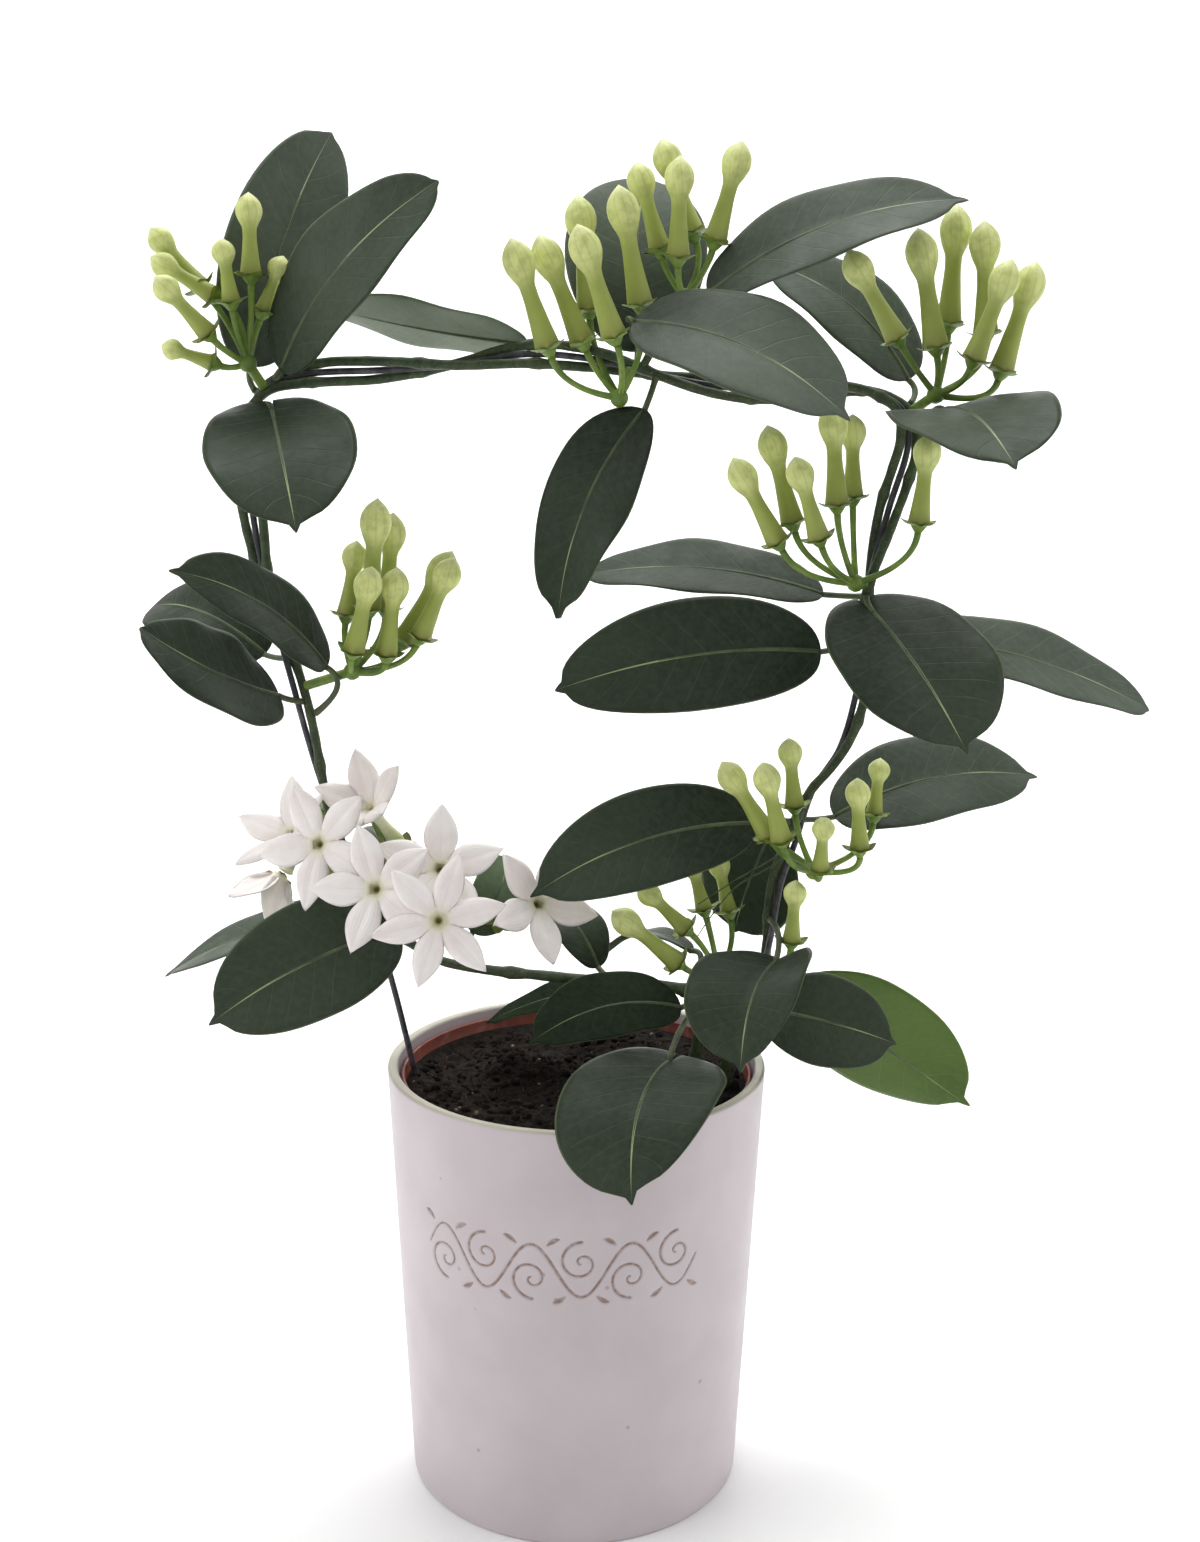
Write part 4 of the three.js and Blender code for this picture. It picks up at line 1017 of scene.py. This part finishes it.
def waxy_petal():
    paint = Paint("waxy_petal", Roughness=0.46, Subsurface_Weight=0.25, Subsurface_Scale=0.004,
                  Subsurface_Radius=(1.0, 0.9, 0.8))
    across, along = paint.place()
    paint.ground(paint.patches(70, 0.35, 0.7), "f7f1ee", "eee3e1")
    paint.over(paint.fade(along, 0.08, 0.3, 0.6), "e0debe")
    # painted shade: an olive ring where the lobes dip into the throat
    paint.over(paint.fade(along, 0.09, 0.17, 0.5), "bcb880")
    # painted shade along the middle crease of each lobe
    crease = paint.times(paint.fade(paint.off_middle(across), 0, 0.12), paint.fade(along, 0.2, 0.9, 0.35))
    paint.over(crease, "deded0")
    streaks = paint.maths("SINE", paint.times(across, 60.0))
    return paint.done(paint.times(streaks, paint.noise(200, 3)), 0.16)


def waxy_tube():
    paint = Paint("waxy_tube", Roughness=0.5, Subsurface_Weight=0.2, Subsurface_Scale=0.003)
    _, along = paint.place()
    paint.ground(paint.band(along, 0.1, 0.95), "b2bc7a", "e8e8d0")
    paint.over(paint.patches(240, 0.4, 0.65), "a0ae68", 0.25)
    return paint.done(paint.noise(400), 0.1)


def throat():
    paint = Paint("green_throat", Roughness=0.55)
    _, along = paint.place()
    # painted shade: the funnel goes from cream at its lip to dark olive at its bottom
    paint.ground(paint.band(along, 0.4, 0.75), "8c8454", "bcb886")
    paint.over(paint.band(along, 0.7, 0.95), "e2dec2")
    paint.over(paint.noise(500), "b0b478", 0.2)
    return paint.done(paint.noise(600), 0.1)


def paper():
    paint = Paint("white_paper", Roughness=0.9)
    paint.ground(paint.patches(9, 0.3, 0.7, 5), "fafafa", "fdfdfd")
    return paint.done()


# ---- The pieces ----
# side of a leaf: colours of blade, patches, veins and midrib, then roughness, coat and how dark the painted
# shade at its foot is
LEAF_SIDES = {
    # top, mid and sheen are one leaf face painted darker or lighter for the light each leaf catches, sheen
    # lightest as a painted sheen; the matte row is painted darkest, as shade, on a rougher face
    "top": ("2f372c", "3a4336", "566151", "a0ac7e", 0.42, 0.02),
    "matte_shaded": ("242c22", "2e372b", "465040", "869268", 0.8, 0),
    "sheen": ("464f44", "545d51", "6e7768", "a8b28c", 0.5, 0.03),
    "under": ("54644e", "62705a", "7a886c", "9ca876", 0.6, 0, 0.2),
    "grey": ("5e6c58", "707c68", "849274", "a6b07c", 0.55, 0.05, 0),
    "bright": ("486226", "567030", "6c8448", "96a864", 0.5, 0.05, 0),
    "mid": ("323d2e", "404b3c", "5c6854", "a2ae82", 0.48, 0.03),
}
green_stalk = stalk("green_stalk", "708242", "546832")
sepal_green = stalk("sepal_green", "7e983e", "607c30")
petiole = stalk("petiole", "505c3a", "3a462c")
leaf_sides = {name: veined("leaf_" + name, *row) for name, row in LEAF_SIDES.items()}

cover_pot(ceramic())
nursery_pot(plastic())
soil(earth("peat", "14110f", "2c2520", 420), earth("grit", "6e6252", "a0947e", 700),
     earth("fibre", "32261e", "5c4838", 500))
wire(coated_wire())
young_bark = bark()
for name in STEMS:
    stem(name, young_bark)
for name, row in LEAVES.items():
    leaf("leaf_" + name, row, leaf_sides[row.upper], leaf_sides[row.lower], petiole)
wax = waxy_bud()
for name, (hub, buds) in UMBELS.items():
    umbel("buds_" + name, hub, buds, wax, sepal_green)
flower_stalks(green_stalk)
flower_finishes = (waxy_petal(), waxy_tube(), throat())
for name, row in FLOWERS.items():
    flower("flower_" + name, row, *flower_finishes)

# ---- Stage, light and camera, in metres ----
STAGE = Values(half_width=3, front=-2.5, back=1.3, bend=0.8, top=3.2, steps=23)
MIDDLE = (0, 0, 0.25)
# place, aim, size and power
LIGHTS = {
    "left_light": ((-1.5, -0.5, 1.3), MIDDLE, 1.2, 13),
    "right_light": ((1.5, -0.2, 1.1), MIDDLE, 1.2, 8),
    "wall_light": ((0, 0.75, 2.1), (0, 2.2, 0.7), 1.6, 60),
}
SKY = {"From Max": 0.9, "To Min": 0.32, "To Max": 0.52}  # its strength at eye level and overhead
CAMERA = Values(place=(8.2, -689.1, 429.3), down=12.2, roll=0.44, focal_pixels=1890, image_height=1542,
                sensor=36, far=20)


def backdrop():
    """A pale floor that bends up into a wall behind the part."""
    curve = [(STAGE.front, 0), *arc(STAGE.back, STAGE.bend, STAGE.bend, -90, 0, STAGE.steps),
             (STAGE.back + STAGE.bend, STAGE.top)]
    places = [(x, y, z) for y, z in curve for x in (-STAGE.half_width, STAGE.half_width)]
    mesh = bpy.data.meshes.new("backdrop")
    mesh.from_pydata(places, [], [(2 * k, 2 * k + 1, 2 * k + 3, 2 * k + 2) for k in range(len(curve) - 1)])
    mesh.shade_smooth()
    mesh.materials.append(paper())
    floor = placed("backdrop", mesh)
    floor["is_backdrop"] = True


def softbox(name, place, aim, size, power):
    lamp = bpy.data.lights.new(name, "AREA")
    lamp.shape, lamp.size, lamp.energy = "SQUARE", size, power
    holder = placed(name, lamp)
    holder.location = place
    holder.rotation_euler = (Vector(aim) - Vector(place)).to_track_quat("-Z", "Y").to_euler()


def sky():
    """White light that is strongest from overhead."""
    world = bpy.data.worlds.new("sky")
    nodes = Nodes(world)
    height = nodes.split(nodes.node("TexCoord", {}).outputs["Generated"])[2]
    strength = nodes.node("MapRange", {"Value": height, **SKY})
    nodes.feed(nodes.tree.nodes["Background"], {"Color": (1, 1, 1, 1), "Strength": strength.outputs[0]})
    bpy.context.scene.world = world


def camera():
    lens = bpy.data.cameras.new("camera")
    lens.sensor_width = CAMERA.sensor
    lens.lens = CAMERA.focal_pixels * CAMERA.sensor / CAMERA.image_height
    lens.clip_end = CAMERA.far
    holder = placed("camera", lens)
    tilt = Matrix.Rotation(math.radians(90 - CAMERA.down), 4, "X")
    roll = Matrix.Rotation(math.radians(CAMERA.roll), 4, "Z")
    holder.matrix_world = Matrix.Translation(Vector(CAMERA.place) * MM) @ tilt @ roll
    bpy.context.scene.camera = holder


bpy.context.scene.view_settings.view_transform = "Standard"
backdrop()
sky()
for name, row in LIGHTS.items():
    softbox(name, *row)
camera()

plain = {"cad": cad_box, "finished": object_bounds()}
